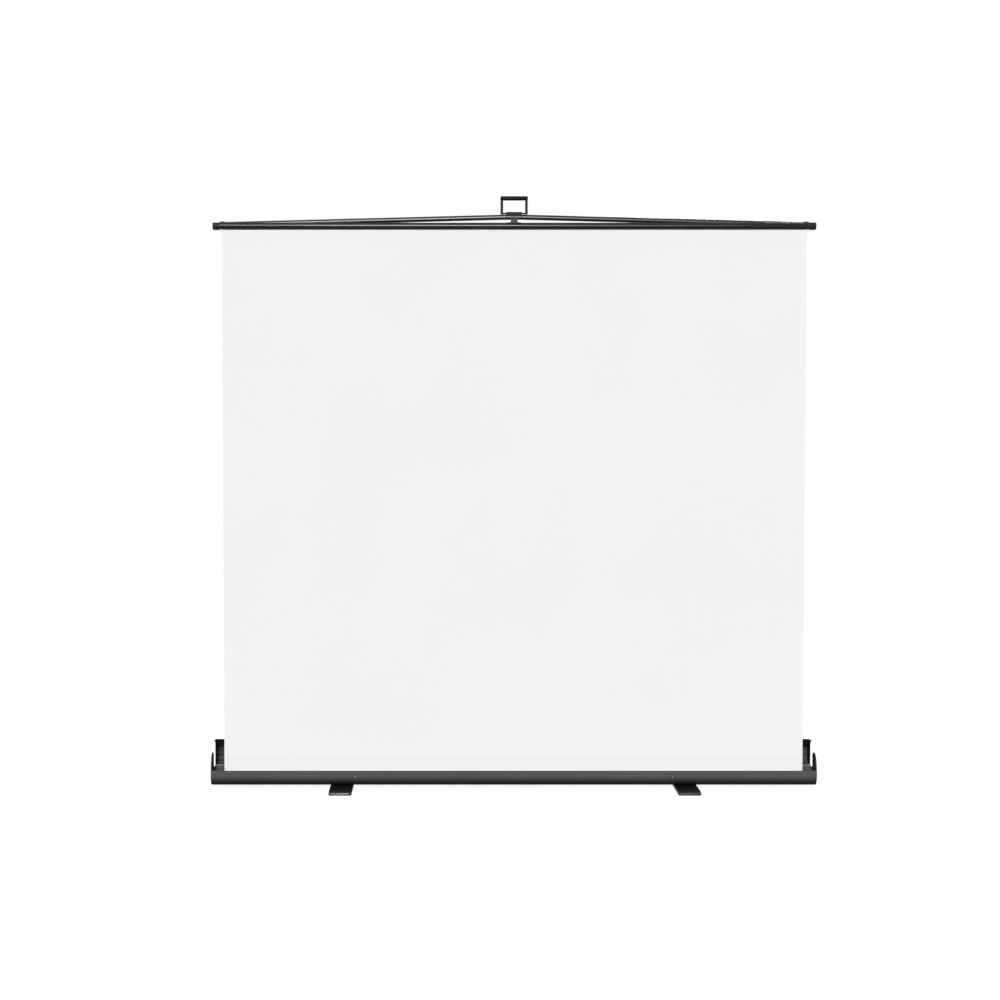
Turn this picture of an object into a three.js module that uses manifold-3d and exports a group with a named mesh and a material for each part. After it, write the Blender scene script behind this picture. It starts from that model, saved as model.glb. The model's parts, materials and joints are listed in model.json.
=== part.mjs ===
// Portable floor-standing projector screen, drawn up out of its case by a gear-linked scissor.
// Millimetres, +Z up, front towards -Y. Origin on the floor, midway between the feet.
import * as THREE from "three";
import { mergeVertices } from "three/addons/utils/BufferGeometryUtils.js";
import Module from "manifold-3d";

const wasm = await Module();
wasm.setup();

// Clearances and overruns
const running_gap = 0.3;
const seat_gap = 0.3;
const layer_gap = 0.6;
const cut_overrun = 2;

// Case: a floor trough with a lid that opens to the rear
const case_length = 2087;
const case_half_depth = 46;
const case_wall = 2.5;
const foot_height = 10;
const tub_height = 53;
const closed_height = 112;
const cheek_thickness = 3.5;
const cheek_rear_y = 22;
const lid_open_angle = THREE.MathUtils.degToRad(90);
const hinge_radius = 2.5;
const hinge_bead_radius = 3.4;
const hinge_web_height = 3;
const lip_width = 6;
const front_lean = 1.5;
const front_corner_shares = { rise: 0.74, run: 0.6, pull: 0.45 };
const rear_corner_share = 0.4;
const lid_shoulder_share = 0.36;
const lid_rear_shares = { straight: 0.5, pull: 0.8, reach: 0.5, run: 1.4 };
const lid_front_shares = { straight: 0.3, pull: 0.9, reach: 0.8, run: 2 };
const lid_rib_inset = 34;
const lid_rib_height = 6;
const lid_rib_thickness = 2;
const hinge_spacing = 200;
const hinge_leaf_width = 58;
const hinge_leaf_height = 32;
const hinge_leaf_thickness = 1.6;

// Feet: bars that swivel under the case
const foot_width = 78.5;
const foot_length = 310;
const foot_spacing = 1185;
const foot_clearance = 2;
const foot_shoe_length = 16;
const foot_corner = 9;
const foot_edge_rounding = 5;
const foot_edge_steps = 3;
const foot_bolt_radius = 5;
const foot_bolt_head_radius = 11;
const foot_bolt_head_height = 4;

// Latch buttons in the front wall
const latch_spacing = 1092;
const latch_width = 16;
const latch_height = 7;
const latch_z = 43;
const latch_proud = 2;

// Screen fabric and its spring roller
const fabric_side_room = 43.5;
const fabric_width = case_length - 2 * fabric_side_room;
const fabric_thickness = 1.2;
const fabric_y = -8;
const roller_radius = 13;
const roller_wall = 1.5;
const roll_radius = 15;
const roller_z = 38;
const roller_overhang = 6;
const axle_radius = 4;
const roller_bracket_thickness = 3;
const spring_radius = 8;
const spring_wire_radius = 1;
const spring_turns = 10;
const spring_length = 300;

// Crossbar: a straight lower tube trussed by a bowed tube behind it
const crossbar_side_room = 13.5;
const crossbar_length = case_length - 2 * crossbar_side_room;
const crossbar_z = 1932;
const lower_tube_radius = 11;
const tube_wall = 1.5;
const bowed_tube_radius = 9;
const bowed_tube_back = 21;
const bowed_end_rise = 7;
const bow_height = 25.5;
const bow_bend_half = 40;
const bow_steps = 10;
const bow_bend_share = 0.6;
const end_block_width = 25;
const tube_socket_depth = 14;
const bow_boss_length = 12;
const bow_boss_lap = 4;
const bow_boss_ramp = 3.5;
const post_top_width = 20;
const post_bottom_width = 28;

// Pull handle: a folding bail on the bowed tube
const handle_width = 94;
const handle_rod_radius = 3;
const handle_grip_radius = 7.5;
const handle_height = 59.3;
const handle_corner = 4;
const handle_leg_width = 9;
const handle_pivot_radius = 2.6;
const handle_hinge_rise = 12.2;
const handle_bracket_width = 54;
const handle_pin_length = 12;

// Scissor: lower arms, two crossed bars and upper arms, with meshing sector gears
const bar_thickness = 5;
const bar_width = 20;
const base_pin_z = 37;
const apex_drop = 5;
// The height that the links span sets how long they are
const link_span = crossbar_z - apex_drop - base_pin_z;
const cross_lower_share = 19 / 63;
const cross_upper_share = 7 / 27;
const cross_lower_half = cross_lower_share * link_span;
const cross_upper_half = cross_upper_share * link_span;
const gear_module = 2;
const gear_teeth = 14;
const gear_backlash = 0.3;
const pressure_angle = THREE.MathUtils.degToRad(25);
const addendum_share = 0.85;
const dedendum_share = 1.15;
const fold_swing = THREE.MathUtils.degToRad(66);
const pin_radius = 4;
const pin_head_radius = 7;
const bracket_plate = 2.6;
const front_plate_y = 4.2;
const centre_pin_clearance = 0.9;
const open_elbow_clearance = 1.4;

// Gas struts between the base bracket and the crossed bars
const strut_radius = 5;
const strut_rod_radius = 2.5;
const strut_reach = 146;
const strut_cylinder_length = 300;
const strut_eye_radius = 6;

// Values that follow from the sizes above
const parting_z = foot_height + tub_height;
const closed_top_z = foot_height + closed_height;
const tub_half_length = case_length / 2 - cheek_thickness - seat_gap;
const lid_half_length = case_length / 2 - cheek_thickness - 2 * seat_gap;
const tub_rear_y = case_half_depth - hinge_radius - seat_gap;
const hinge_y = case_half_depth;
const floor_z = foot_height + case_wall;
const roller_y = fabric_y - roll_radius;
const gear_pitch_radius = gear_module * gear_teeth / 2;
const gear_outer_radius = gear_pitch_radius + addendum_share * gear_module;
const gear_root_radius = gear_pitch_radius - dedendum_share * gear_module;
const lower_arm_length = cross_lower_half - gear_pitch_radius;
const upper_arm_length = cross_upper_half - gear_pitch_radius;
const apex_pin_z = crossbar_z - apex_drop;
const bar_1_y = front_plate_y + bracket_plate + layer_gap;
const arm_y = bar_1_y + bar_thickness + layer_gap;
const bar_2_y = arm_y + bar_thickness + layer_gap;
const rear_plate_y = bar_2_y + bar_thickness + layer_gap;
const strut_front_y = front_plate_y - layer_gap - strut_radius;
const strut_rear_y = rear_plate_y + bracket_plate + layer_gap + strut_radius;
const bowed_y = fabric_y + bowed_tube_back;
const bowed_mid_z = crossbar_z + bowed_end_rise + bow_height;
const handle_hinge_z = bowed_mid_z + handle_hinge_rise;

// The scissor's rest angles: the cross bars' slope is found from the height that the links span
function scissorAt(cross_angle) {
  const lower_reach = cross_lower_half * Math.cos(cross_angle) - gear_pitch_radius;
  const lower_angle = Math.acos(lower_reach / lower_arm_length);
  const upper_reach = cross_upper_half * Math.cos(cross_angle) - gear_pitch_radius;
  const upper_angle = Math.acos(upper_reach / upper_arm_length);
  const centre = lower_arm_length * Math.sin(lower_angle) + cross_lower_half * Math.sin(cross_angle);
  const height = centre + cross_upper_half * Math.sin(cross_angle) + upper_arm_length * Math.sin(upper_angle);
  return { lower_angle, cross_angle, upper_angle, centre, height };
}

function solveScissor(height) {
  let low = 0.001;
  let high = Math.PI / 2 - 0.001;
  for (let step = 0; step < 60; step += 1) {
    const middle = (low + high) / 2;
    if (scissorAt(middle).height < height) low = middle;
    else high = middle;
  }
  return scissorAt((low + high) / 2);
}

const rest = solveScissor(apex_pin_z - base_pin_z);
const lower_elbow = new THREE.Vector2(
  cross_lower_half * Math.cos(rest.cross_angle),
  base_pin_z + lower_arm_length * Math.sin(rest.lower_angle),
);
const scissor_centre = new THREE.Vector2(0, base_pin_z + rest.centre);
const upper_elbow = new THREE.Vector2(
  cross_upper_half * Math.cos(rest.cross_angle),
  scissor_centre.y + cross_upper_half * Math.sin(rest.cross_angle),
);

// Materials
function paint(color, roughness, metalness) {
  return new THREE.MeshStandardMaterial({ color, roughness, metalness });
}
const black_shell = () => paint(0x3c3c3e, 0.5, 0.3);
const dark_metal = () => paint(0x2a2a2c, 0.45, 0.6);
const plated = () => paint(0xb9babc, 0.3, 0.9);
const black_plastic = () => paint(0x151516, 0.6, 0);
const screen_white = () => paint(0xf1f1f0, 0.9, 0);

const screen = new THREE.Group();

function add(name, geometry, material, parent = screen) {
  const mesh = new THREE.Mesh(geometry, material);
  mesh.name = name;
  parent.add(mesh);
  return mesh;
}

// Booleans on closed geometries
function solid(geometry) {
  const bare = geometry.index ? geometry.toNonIndexed() : geometry.clone();
  bare.deleteAttribute("normal");
  bare.deleteAttribute("uv");
  const merged = mergeVertices(bare, 1e-4);
  return new wasm.Manifold(new wasm.Mesh({
    numProp: 3,
    vertProperties: new Float32Array(merged.attributes.position.array),
    triVerts: new Uint32Array(merged.index.array),
  }));
}

function unsolid(body) {
  const mesh = body.getMesh();
  const geometry = new THREE.BufferGeometry();
  geometry.setAttribute("position", new THREE.BufferAttribute(new Float32Array(mesh.vertProperties), 3));
  geometry.setIndex(new THREE.BufferAttribute(new Uint32Array(mesh.triVerts), 1));
  const flat = geometry.toNonIndexed();
  flat.computeVertexNormals();
  return flat;
}

function cut(geometry, ...tools) {
  let body = solid(geometry);
  for (const tool of tools) body = body.subtract(solid(tool));
  return unsolid(body);
}

function join(geometry, ...others) {
  let body = solid(geometry);
  for (const other of others) body = body.add(solid(other));
  return unsolid(body);
}

// A plate: an outline in X and Z, standing from y to y + thickness
function plate(shape, y, thickness, curveSegments = 12) {
  const geometry = new THREE.ExtrudeGeometry(shape, { depth: thickness, bevelEnabled: false, curveSegments });
  geometry.rotateX(Math.PI / 2);
  geometry.translate(0, y + thickness, 0);
  return geometry;
}

// A profile in Y and Z, run along X from x0 to x1
function profileAlongX(shape, x0, x1, curveSegments = 8) {
  const geometry = new THREE.ExtrudeGeometry(shape, { depth: x1 - x0, bevelEnabled: false, curveSegments });
  const turn = new THREE.Matrix4().makeBasis(
    new THREE.Vector3(0, 1, 0),
    new THREE.Vector3(0, 0, 1),
    new THREE.Vector3(1, 0, 0),
  );
  geometry.applyMatrix4(turn);
  geometry.translate(x0, 0, 0);
  return geometry;
}

// An outline in X and Y, standing up from z0 to z1
function slab(shape, z0, z1, curveSegments = 6) {
  const geometry = new THREE.ExtrudeGeometry(shape, { depth: z1 - z0, bevelEnabled: false, curveSegments });
  geometry.translate(0, 0, z0);
  return geometry;
}

// Round bars along X and Y
function rodX(radius, x0, x1, y, z, sides = 24) {
  const geometry = new THREE.CylinderGeometry(radius, radius, x1 - x0, sides);
  geometry.rotateZ(-Math.PI / 2);
  geometry.translate((x0 + x1) / 2, y, z);
  return geometry;
}

function rodY(radius, y0, y1, x, z, sides = 24) {
  const geometry = new THREE.CylinderGeometry(radius, radius, y1 - y0, sides);
  geometry.translate(0, (y0 + y1) / 2, 0);
  geometry.translate(x, 0, z);
  return geometry;
}

// A turned piece on the X axis: radii against x, as pairs in order along the outline
function turnedX(pairs, y, z, sides = 28) {
  const points = pairs.map(([x, radius]) => new THREE.Vector2(radius, x));
  const geometry = new THREE.LatheGeometry(points, sides);
  geometry.rotateZ(-Math.PI / 2);
  geometry.translate(0, y, z);
  return geometry;
}

function boxBetween(x0, x1, y0, y1, z0, z1) {
  const geometry = new THREE.BoxGeometry(x1 - x0, y1 - y0, z1 - z0);
  geometry.translate((x0 + x1) / 2, (y0 + y1) / 2, (z0 + z1) / 2);
  return geometry;
}

function roundedRectangle(x0, x1, y0, y1, corner) {
  const shape = new THREE.Shape();
  shape.moveTo(x0 + corner, y0);
  shape.lineTo(x1 - corner, y0);
  shape.absarc(x1 - corner, y0 + corner, corner, -Math.PI / 2, 0);
  shape.lineTo(x1, y1 - corner);
  shape.absarc(x1 - corner, y1 - corner, corner, 0, Math.PI / 2);
  shape.lineTo(x0 + corner, y1);
  shape.absarc(x0 + corner, y1 - corner, corner, Math.PI / 2, Math.PI);
  shape.lineTo(x0, y0 + corner);
  shape.absarc(x0 + corner, y0 + corner, corner, Math.PI, 1.5 * Math.PI);
  return shape;
}

// Trough outline from the front parting edge, under the floor and up to the rear edge
function tubOutline(path, inset) {
  const front = -case_half_depth + inset;
  const rear = tub_rear_y - inset;
  const bottom = foot_height + inset;
  const rise = front_corner_shares.rise * tub_height - inset;
  const run = front_corner_shares.run * tub_height - inset;
  const pull = front_corner_shares.pull;
  const rear_corner = rear_corner_share * tub_height;
  path.moveTo(front + front_lean, parting_z);
  path.lineTo(front, bottom + rise);
  path.bezierCurveTo(front, bottom + pull * rise, front + pull * run, bottom, front + run, bottom);
  path.lineTo(rear - rear_corner, bottom);
  path.quadraticCurveTo(rear, bottom, rear, bottom + rear_corner);
  path.lineTo(rear, parting_z);
}

function closedTub(inset) {
  const shape = new THREE.Shape();
  tubOutline(shape, inset);
  if (inset) {
    shape.lineTo(tub_rear_y - inset, parting_z + cut_overrun);
    shape.lineTo(inset - case_half_depth, parting_z + cut_overrun);
  }
  return shape;
}

// The two wall-mounted buttons pass through these stadium outlines
function stadium(width, height, x, z) {
  const shape = new THREE.Shape();
  const straight = (width - height) / 2;
  shape.absarc(x + straight, z, height / 2, -Math.PI / 2, Math.PI / 2);
  shape.absarc(x - straight, z, height / 2, Math.PI / 2, 1.5 * Math.PI);
  return shape;
}

// Case trough: a bulged front, a flat floor, and holes for the latches and the foot bolts
function caseTub() {
  const inner_run = tub_half_length + cut_overrun;
  const shell = cut(
    profileAlongX(closedTub(0), -tub_half_length, tub_half_length),
    profileAlongX(closedTub(case_wall), -inner_run, inner_run),
  );
  const lip = boxBetween(
    -tub_half_length, tub_half_length,
    case_wall - case_half_depth, lip_width + case_wall - case_half_depth,
    parting_z - case_wall, parting_z,
  );
  const bead = rodX(hinge_bead_radius, -tub_half_length, tub_half_length, hinge_y, parting_z, 20);
  const web = boxBetween(
    -tub_half_length, tub_half_length,
    tub_rear_y - case_wall / 2, hinge_y, parting_z - hinge_web_height, parting_z,
  );
  const tools = [];
  for (const side of [-1, 1]) {
    const half = hinge_leaf_width / 2 + seat_gap;
    const middle = side * hinge_spacing / 2;
    tools.push(boxBetween(
      middle - half, middle + half,
      tub_rear_y, hinge_y + 2 * hinge_bead_radius,
      parting_z - 2 * hinge_bead_radius, parting_z + 2 * hinge_bead_radius,
    ));
    const slot_width = latch_width + 2 * running_gap;
    const slot_height = latch_height + 2 * running_gap;
    const slot = stadium(slot_width, slot_height, side * latch_spacing / 2, latch_z);
    tools.push(plate(slot, -case_half_depth - cut_overrun, 3 * case_wall, 6));
    const bolt_radius = foot_bolt_radius + running_gap;
    const bolt = new THREE.CylinderGeometry(bolt_radius, bolt_radius, 3 * case_wall, 20);
    bolt.rotateX(Math.PI / 2);
    bolt.translate(side * foot_spacing / 2, 0, foot_height + case_wall / 2);
    tools.push(bolt);
  }
  return cut(join(shell, lip, bead, web), ...tools);
}
add("case_tub", caseTub(), black_shell());

// End caps: a cheek that closes the trough's end and rises in a horn beside the lid
function endCap(side) {
  const horn = new THREE.Shape();
  tubOutline(horn, 0);
  const notch = cheek_rear_y / 3;
  horn.lineTo(cheek_rear_y + notch, parting_z);
  horn.quadraticCurveTo(cheek_rear_y, parting_z, cheek_rear_y, parting_z + notch);
  horn.lineTo(cheek_rear_y, closed_top_z - cheek_rear_y);
  horn.quadraticCurveTo(cheek_rear_y, closed_top_z - case_wall, 0, closed_top_z - case_wall);
  const front = case_wall + cheek_thickness / 2 - case_half_depth;
  horn.bezierCurveTo(
    -cheek_rear_y, closed_top_z - case_wall, front, closed_top_z - cheek_rear_y, front, parting_z,
  );
  const inside = tub_half_length + seat_gap;
  const cheek = profileAlongX(horn, inside, case_length / 2, 10);
  const rim_length = 3 * cheek_thickness;
  const rim = cut(
    profileAlongX(closedTub(case_wall + seat_gap), inside - rim_length, inside + cheek_thickness / 2, 6),
    profileAlongX(closedTub(2 * case_wall + seat_gap), inside - rim_length - cut_overrun, inside, 6),
    boxBetween(0, case_length, -case_half_depth, case_half_depth, parting_z - 2 * case_wall, closed_top_z),
  );
  const cap = join(cheek, rim);
  if (side < 0) cap.applyMatrix4(new THREE.Matrix4().makeScale(-1, 1, 1));
  return side < 0 ? flipped(cap) : cap;
}

// A mirrored geometry needs its triangles turned to face out again
function flipped(geometry) {
  const position = geometry.attributes.position;
  for (let corner = 0; corner < position.count; corner += 3) {
    const first = new THREE.Vector3().fromBufferAttribute(position, corner);
    const second = new THREE.Vector3().fromBufferAttribute(position, corner + 1);
    position.setXYZ(corner, second.x, second.y, second.z);
    position.setXYZ(corner + 1, first.x, first.y, first.z);
  }
  geometry.computeVertexNormals();
  return geometry;
}
add("end_cap_left", endCap(-1), black_plastic());
add("end_cap_right", endCap(1), black_plastic());

// Lid, drawn closed about its hinge axis and then swung open to the rear
const lid = new THREE.Group();
lid.position.set(0, hinge_y, parting_z);
lid.rotation.x = -lid_open_angle;
screen.add(lid);
const lid_front_y = 1 - case_half_depth - hinge_y;
const lid_rear_y = tub_rear_y - hinge_y - seat_gap;
const lid_top = closed_height - tub_height;
const notch_width = 125;
const notch_reach = 58;

function lidOutline(inset) {
  const shape = new THREE.Shape();
  const front = lid_front_y + inset;
  const rear = lid_rear_y - inset;
  const top = lid_top - inset;
  const foot = inset ? -cut_overrun : seat_gap;
  const shoulder = lid_shoulder_share * case_half_depth;
  const back = lid_rear_shares;
  const fore = lid_front_shares;
  shape.moveTo(front, foot);
  shape.lineTo(rear, foot);
  shape.lineTo(rear, back.straight * lid_top);
  shape.bezierCurveTo(
    rear, back.pull * lid_top, rear - back.reach * shoulder, top, rear - back.run * shoulder, top,
  );
  shape.lineTo(front + fore.run * shoulder, top);
  shape.bezierCurveTo(
    front + fore.reach * shoulder, top, front, fore.pull * lid_top, front, fore.straight * lid_top,
  );
  return shape;
}

function caseLid() {
  const inner_run = lid_half_length + cut_overrun;
  const shell = cut(
    profileAlongX(lidOutline(0), -lid_half_length, lid_half_length),
    profileAlongX(lidOutline(case_wall), -inner_run, inner_run),
    boxBetween(
      -lid_half_length - cut_overrun, lid_half_length + cut_overrun,
      lid_rear_y - 2 * case_wall, lid_rear_y + case_wall, -case_wall, hinge_radius + seat_gap,
    ),
  );
  const edge_height = 3 * case_wall;
  const edge = boxBetween(
    -case_length / 2, case_length / 2,
    lid_front_y, lid_front_y + case_wall, seat_gap, edge_height,
  );
  const lip = boxBetween(
    -lid_half_length, lid_half_length,
    lid_front_y, lid_front_y + lip_width + case_wall, seat_gap, seat_gap + case_wall,
  );
  const rib = boxBetween(
    -lid_half_length, lid_half_length,
    -lid_rib_inset - lid_rib_thickness, -lid_rib_inset,
    lid_top - case_wall - lid_rib_height, lid_top - case_wall / 2,
  );
  const notch = boxBetween(
    -notch_width / 2, notch_width / 2,
    lid_front_y - cut_overrun, lid_front_y + notch_reach, -cut_overrun, lid_top + cut_overrun,
  );
  return cut(join(shell, edge, lip, rib), notch);
}
add("case_lid", caseLid(), black_shell(), lid);

for (const [side, name] of [[-1, "left"], [1, "right"]]) {
  const inner = side * (lid_half_length - case_wall - seat_gap);
  const outer = side * (lid_half_length - seat_gap);
  const wall = cut(
    profileAlongX(lidOutline(case_wall + seat_gap), Math.min(inner, outer), Math.max(inner, outer), 8),
    boxBetween(-case_length, case_length, lid_front_y, 0, -3 * case_wall, 2 * case_wall + seat_gap),
    boxBetween(
      -case_length, case_length, -lid_rib_inset - lid_rib_thickness - seat_gap, seat_gap - lid_rib_inset,
      lid_top - case_wall - lid_rib_height - seat_gap, lid_top,
    ),
  );
  add(`lid_end_wall_${name}`, wall, black_plastic(), lid);
}

// Hinges behind the scissor: a leaf on the lid, and one on the trough with the pin in its knuckle
const hinge_knuckle = hinge_leaf_width / 3;
const hinge_pin_radius = hinge_radius / 2;
const leaf_offset = tub_rear_y - hinge_y;

function hingeBarrel(x0, x1) {
  const shape = new THREE.Shape();
  shape.absarc(0, 0, hinge_radius, 0, 2 * Math.PI);
  const bore = new THREE.Path();
  bore.absarc(0, 0, hinge_pin_radius + running_gap, 0, 2 * Math.PI, true);
  shape.holes.push(bore);
  return profileAlongX(shape, x0, x1, 6);
}

function hingeLeaf(x0, x1, height, up, barrels, offset) {
  const foot = up * hinge_pin_radius;
  let leaf = boxBetween(
    x0, x1, offset, offset + hinge_leaf_thickness,
    Math.min(foot, up * height), Math.max(foot, up * height),
  );
  const bore = rodX(hinge_pin_radius + running_gap, x0 - cut_overrun, x1 + cut_overrun, 0, 0, 12);
  for (const [from, to] of barrels) leaf = join(leaf, hingeBarrel(from, to));
  return cut(leaf, bore);
}

for (const [side, name] of [[-1, "left"], [1, "right"]]) {
  const middle = side * hinge_spacing / 2;
  const half = hinge_leaf_width / 2;
  const inner = hinge_knuckle / 2;
  const lid_leaf = hingeLeaf(
    middle - half, middle + half, hinge_leaf_height, 1,
    [[middle - half, middle - inner - running_gap], [middle + inner + running_gap, middle + half]],
    leaf_offset + seat_gap / 2,
  );
  const gap = boxBetween(
    middle - inner - running_gap, middle + inner + running_gap,
    -hinge_radius - cut_overrun, hinge_radius + cut_overrun, -hinge_radius, hinge_radius + running_gap,
  );
  add(`lid_hinge_leaf_${name}`, cut(lid_leaf, gap), plated(), lid);
  const tub_leaf = hingeLeaf(
    middle - inner, middle + inner, hinge_leaf_height / 2, -1,
    [[middle - inner, middle + inner]], leaf_offset,
  );
  const pin = rodX(hinge_pin_radius, middle - half, middle + half, 0, 0, 16);
  const barrel = rodX(2 * hinge_pin_radius - running_gap, middle - inner, middle + inner, 0, 0, 16);
  const pinned = join(tub_leaf, pin, barrel);
  add(`case_hinge_leaf_${name}`, pinned, dark_metal()).position.set(0, hinge_y, parting_z);
}

// Feet: a flat bar with a moulded shoe on each end, turning on a bolt under the floor
const foot_top = foot_height - seat_gap;

function footBar() {
  const half = foot_length / 2 - foot_shoe_length - seat_gap;
  const outline = roundedRectangle(-foot_width / 2, foot_width / 2, -half, half, case_wall);
  const bar = slab(outline, foot_clearance, foot_top);
  const bore = new THREE.CylinderGeometry(
    foot_bolt_radius + running_gap, foot_bolt_radius + running_gap, 2 * foot_height, 20,
  );
  bore.rotateX(Math.PI / 2);
  const sink_top = foot_clearance + foot_bolt_head_height + seat_gap;
  const sink = new THREE.CylinderGeometry(
    foot_bolt_head_radius + running_gap, foot_bolt_head_radius + running_gap, 2 * sink_top, 20,
  );
  sink.rotateX(Math.PI / 2);
  return cut(bar, bore, sink);
}

function footShoe(side) {
  const half = foot_length / 2;
  const rounding = foot_edge_rounding;
  const outline = roundedRectangle(
    rounding - foot_width / 2, foot_width / 2 - rounding,
    half - foot_shoe_length - 2 * foot_corner, half - rounding, foot_corner - rounding,
  );
  const blank = new THREE.ExtrudeGeometry(outline, {
    depth: foot_top, bevelThickness: rounding, bevelSize: rounding,
    bevelSegments: foot_edge_steps, curveSegments: 3,
  });
  blank.translate(0, 0, -rounding);
  const back = boxBetween(
    -foot_width, foot_width, half - 4 * foot_shoe_length, half - foot_shoe_length,
    -foot_height, 2 * foot_height,
  );
  const below = boxBetween(-foot_width, foot_width, 0, foot_length, -foot_height, 0);
  const shoe = cut(blank, back, below);
  if (side < 0) shoe.rotateZ(Math.PI);
  return shoe;
}

for (const [side, name] of [[-1, "left"], [1, "right"]]) {
  const x = side * foot_spacing / 2;
  add(`foot_bar_${name}`, footBar(), black_shell()).position.x = x;
  add(`foot_shoe_${name}_front`, footShoe(-1), black_plastic()).position.x = x;
  add(`foot_shoe_${name}_rear`, footShoe(1), black_plastic()).position.x = x;
  const head_top = foot_clearance + foot_bolt_head_height;
  const nut_top = floor_z + foot_bolt_head_height;
  const profile = [
    [0, foot_clearance],
    [foot_bolt_head_radius, foot_clearance],
    [foot_bolt_head_radius, head_top],
    [foot_bolt_radius, head_top],
    [foot_bolt_radius, floor_z + seat_gap],
    [2 * foot_bolt_radius, floor_z + seat_gap],
    [2 * foot_bolt_radius, nut_top],
    [0, nut_top],
  ].map(([radius, z]) => new THREE.Vector2(radius, z));
  const bolt = new THREE.LatheGeometry(profile, 20);
  bolt.rotateX(Math.PI / 2);
  add(`foot_bolt_${name}`, bolt, plated()).position.x = x;
}

// Latch buttons: sprung caps that slide in through the front wall
const latch_flange = 1.5;
const latch_flange_thickness = 0.8;
const latch_inner_y = 2 * case_wall - case_half_depth;

for (const [side, name] of [[-1, "left"], [1, "right"]]) {
  const x = side * latch_spacing / 2;
  const cap = plate(
    stadium(latch_width, latch_height, x, latch_z),
    -case_half_depth - latch_proud,
    latch_inner_y + case_half_depth + latch_proud + latch_flange_thickness / 2, 6,
  );
  const flange = plate(
    stadium(latch_width + 2 * latch_flange, latch_height + 2 * latch_flange, x, latch_z),
    latch_inner_y, latch_flange_thickness, 6,
  );
  add(`latch_button_${name}`, join(cap, flange), plated());
}

// Spring roller: tube, last turns of fabric, plugs, and the brackets that carry its axles
const roller_half = fabric_width / 2 + roller_overhang;
const plug_length = 20;
const plug_flange = 3;
const bracket_play = 1;
const bracket_x = roller_half + seat_gap + plug_flange + bracket_play;
const bracket_outer_x = bracket_x + roller_bracket_thickness;
const bracket_half_width = 11;
const bracket_foot_length = 10;

function ring(outer, inner) {
  const shape = new THREE.Shape();
  shape.absarc(0, 0, outer, 0, 2 * Math.PI);
  const bore = new THREE.Path();
  bore.absarc(0, 0, inner, 0, 2 * Math.PI, true);
  shape.holes.push(bore);
  return shape;
}

function pipeX(outer, inner, half, y, z, curveSegments) {
  const pipe = profileAlongX(ring(outer, inner), -half, half, curveSegments);
  pipe.translate(0, y, z);
  return pipe;
}
const tube_shape = pipeX(roller_radius, roller_radius - roller_wall, roller_half, roller_y, roller_z, 12);
add("roller_tube", tube_shape, plated());
add(
  "fabric_roll",
  pipeX(roll_radius, roller_radius + seat_gap / 2, fabric_width / 2, roller_y, roller_z, 14),
  screen_white(),
);

function rollerPlugLeft() {
  const face = -roller_half - seat_gap;
  const inside = roller_radius - roller_wall - seat_gap;
  return turnedX([
    [-bracket_outer_x, 0],
    [-bracket_outer_x, axle_radius],
    [face - plug_flange, axle_radius],
    [face - plug_flange, roller_radius],
    [face, roller_radius],
    [face, inside],
    [face + plug_length, inside],
    [face + plug_length, 0],
  ], roller_y, roller_z, 24);
}

function rollerPlugRight() {
  const face = roller_half + seat_gap;
  const inside = roller_radius - roller_wall - seat_gap;
  const bore = axle_radius + running_gap;
  return turnedX([
    [face - plug_length, bore],
    [face - plug_length, inside],
    [face, inside],
    [face, roller_radius],
    [face + plug_flange, roller_radius],
    [face + plug_flange, bore],
    [face - plug_length, bore],
  ], roller_y, roller_z, 24);
}
add("roller_plug_left", rollerPlugLeft(), black_plastic());
add("roller_plug_right", rollerPlugRight(), black_plastic());

function rollerBracket(side) {
  const from = side < 0 ? -bracket_outer_x : bracket_x;
  const upright = boxBetween(
    from, from + roller_bracket_thickness,
    roller_y - bracket_half_width, roller_y + bracket_half_width, foot_height, roller_z,
  );
  const eye = rodX(bracket_half_width, from, from + roller_bracket_thickness, roller_y, roller_z, 24);
  const foot_from = side < 0 ? from - bracket_foot_length : from;
  const foot = boxBetween(
    foot_from, foot_from + bracket_foot_length + roller_bracket_thickness,
    roller_y - bracket_half_width, roller_y + bracket_half_width,
    foot_height, floor_z + 2 * roller_bracket_thickness,
  );
  const bore_end = from + 2 * plug_flange;
  const bore = rodX(axle_radius + running_gap, from - cut_overrun, bore_end, roller_y, roller_z, 20);
  const whole = solid(cut(join(upright, eye, foot), bore));
  const room = solid(profileAlongX(closedTub(case_wall + seat_gap / 2), -case_length, case_length));
  return unsolid(whole.intersect(room));
}
add("roller_bracket_left", rollerBracket(-1), dark_metal());
add("roller_bracket_right", rollerBracket(1), dark_metal());

// Torsion spring in the roller's right half, round a rod that the right bracket holds still
const rod_collar_length = 4;
const spring_end_x = roller_half - plug_length - 2 * seat_gap;
const spring_start_x = spring_end_x - spring_length;

const spring_rod = turnedX([
  [spring_start_x - rod_collar_length - seat_gap, 0],
  [spring_start_x - rod_collar_length - seat_gap, spring_radius + spring_wire_radius],
  [spring_start_x - seat_gap, spring_radius + spring_wire_radius],
  [spring_start_x - seat_gap, axle_radius],
  [bracket_outer_x, axle_radius],
  [bracket_outer_x, 0],
], roller_y, roller_z, 20);
add("spring_rod", spring_rod, plated());

class Helix extends THREE.Curve {
  getPoint(share, target = new THREE.Vector3()) {
    const angle = 2 * Math.PI * spring_turns * share;
    const run = spring_length - 2 * spring_wire_radius;
    return target.set(
      spring_start_x + spring_wire_radius + run * share,
      roller_y + spring_radius * Math.cos(angle),
      roller_z + spring_radius * Math.sin(angle),
    );
  }
}

function circle(radius) {
  const shape = new THREE.Shape();
  shape.absarc(0, 0, radius, 0, 2 * Math.PI);
  return shape;
}

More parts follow.
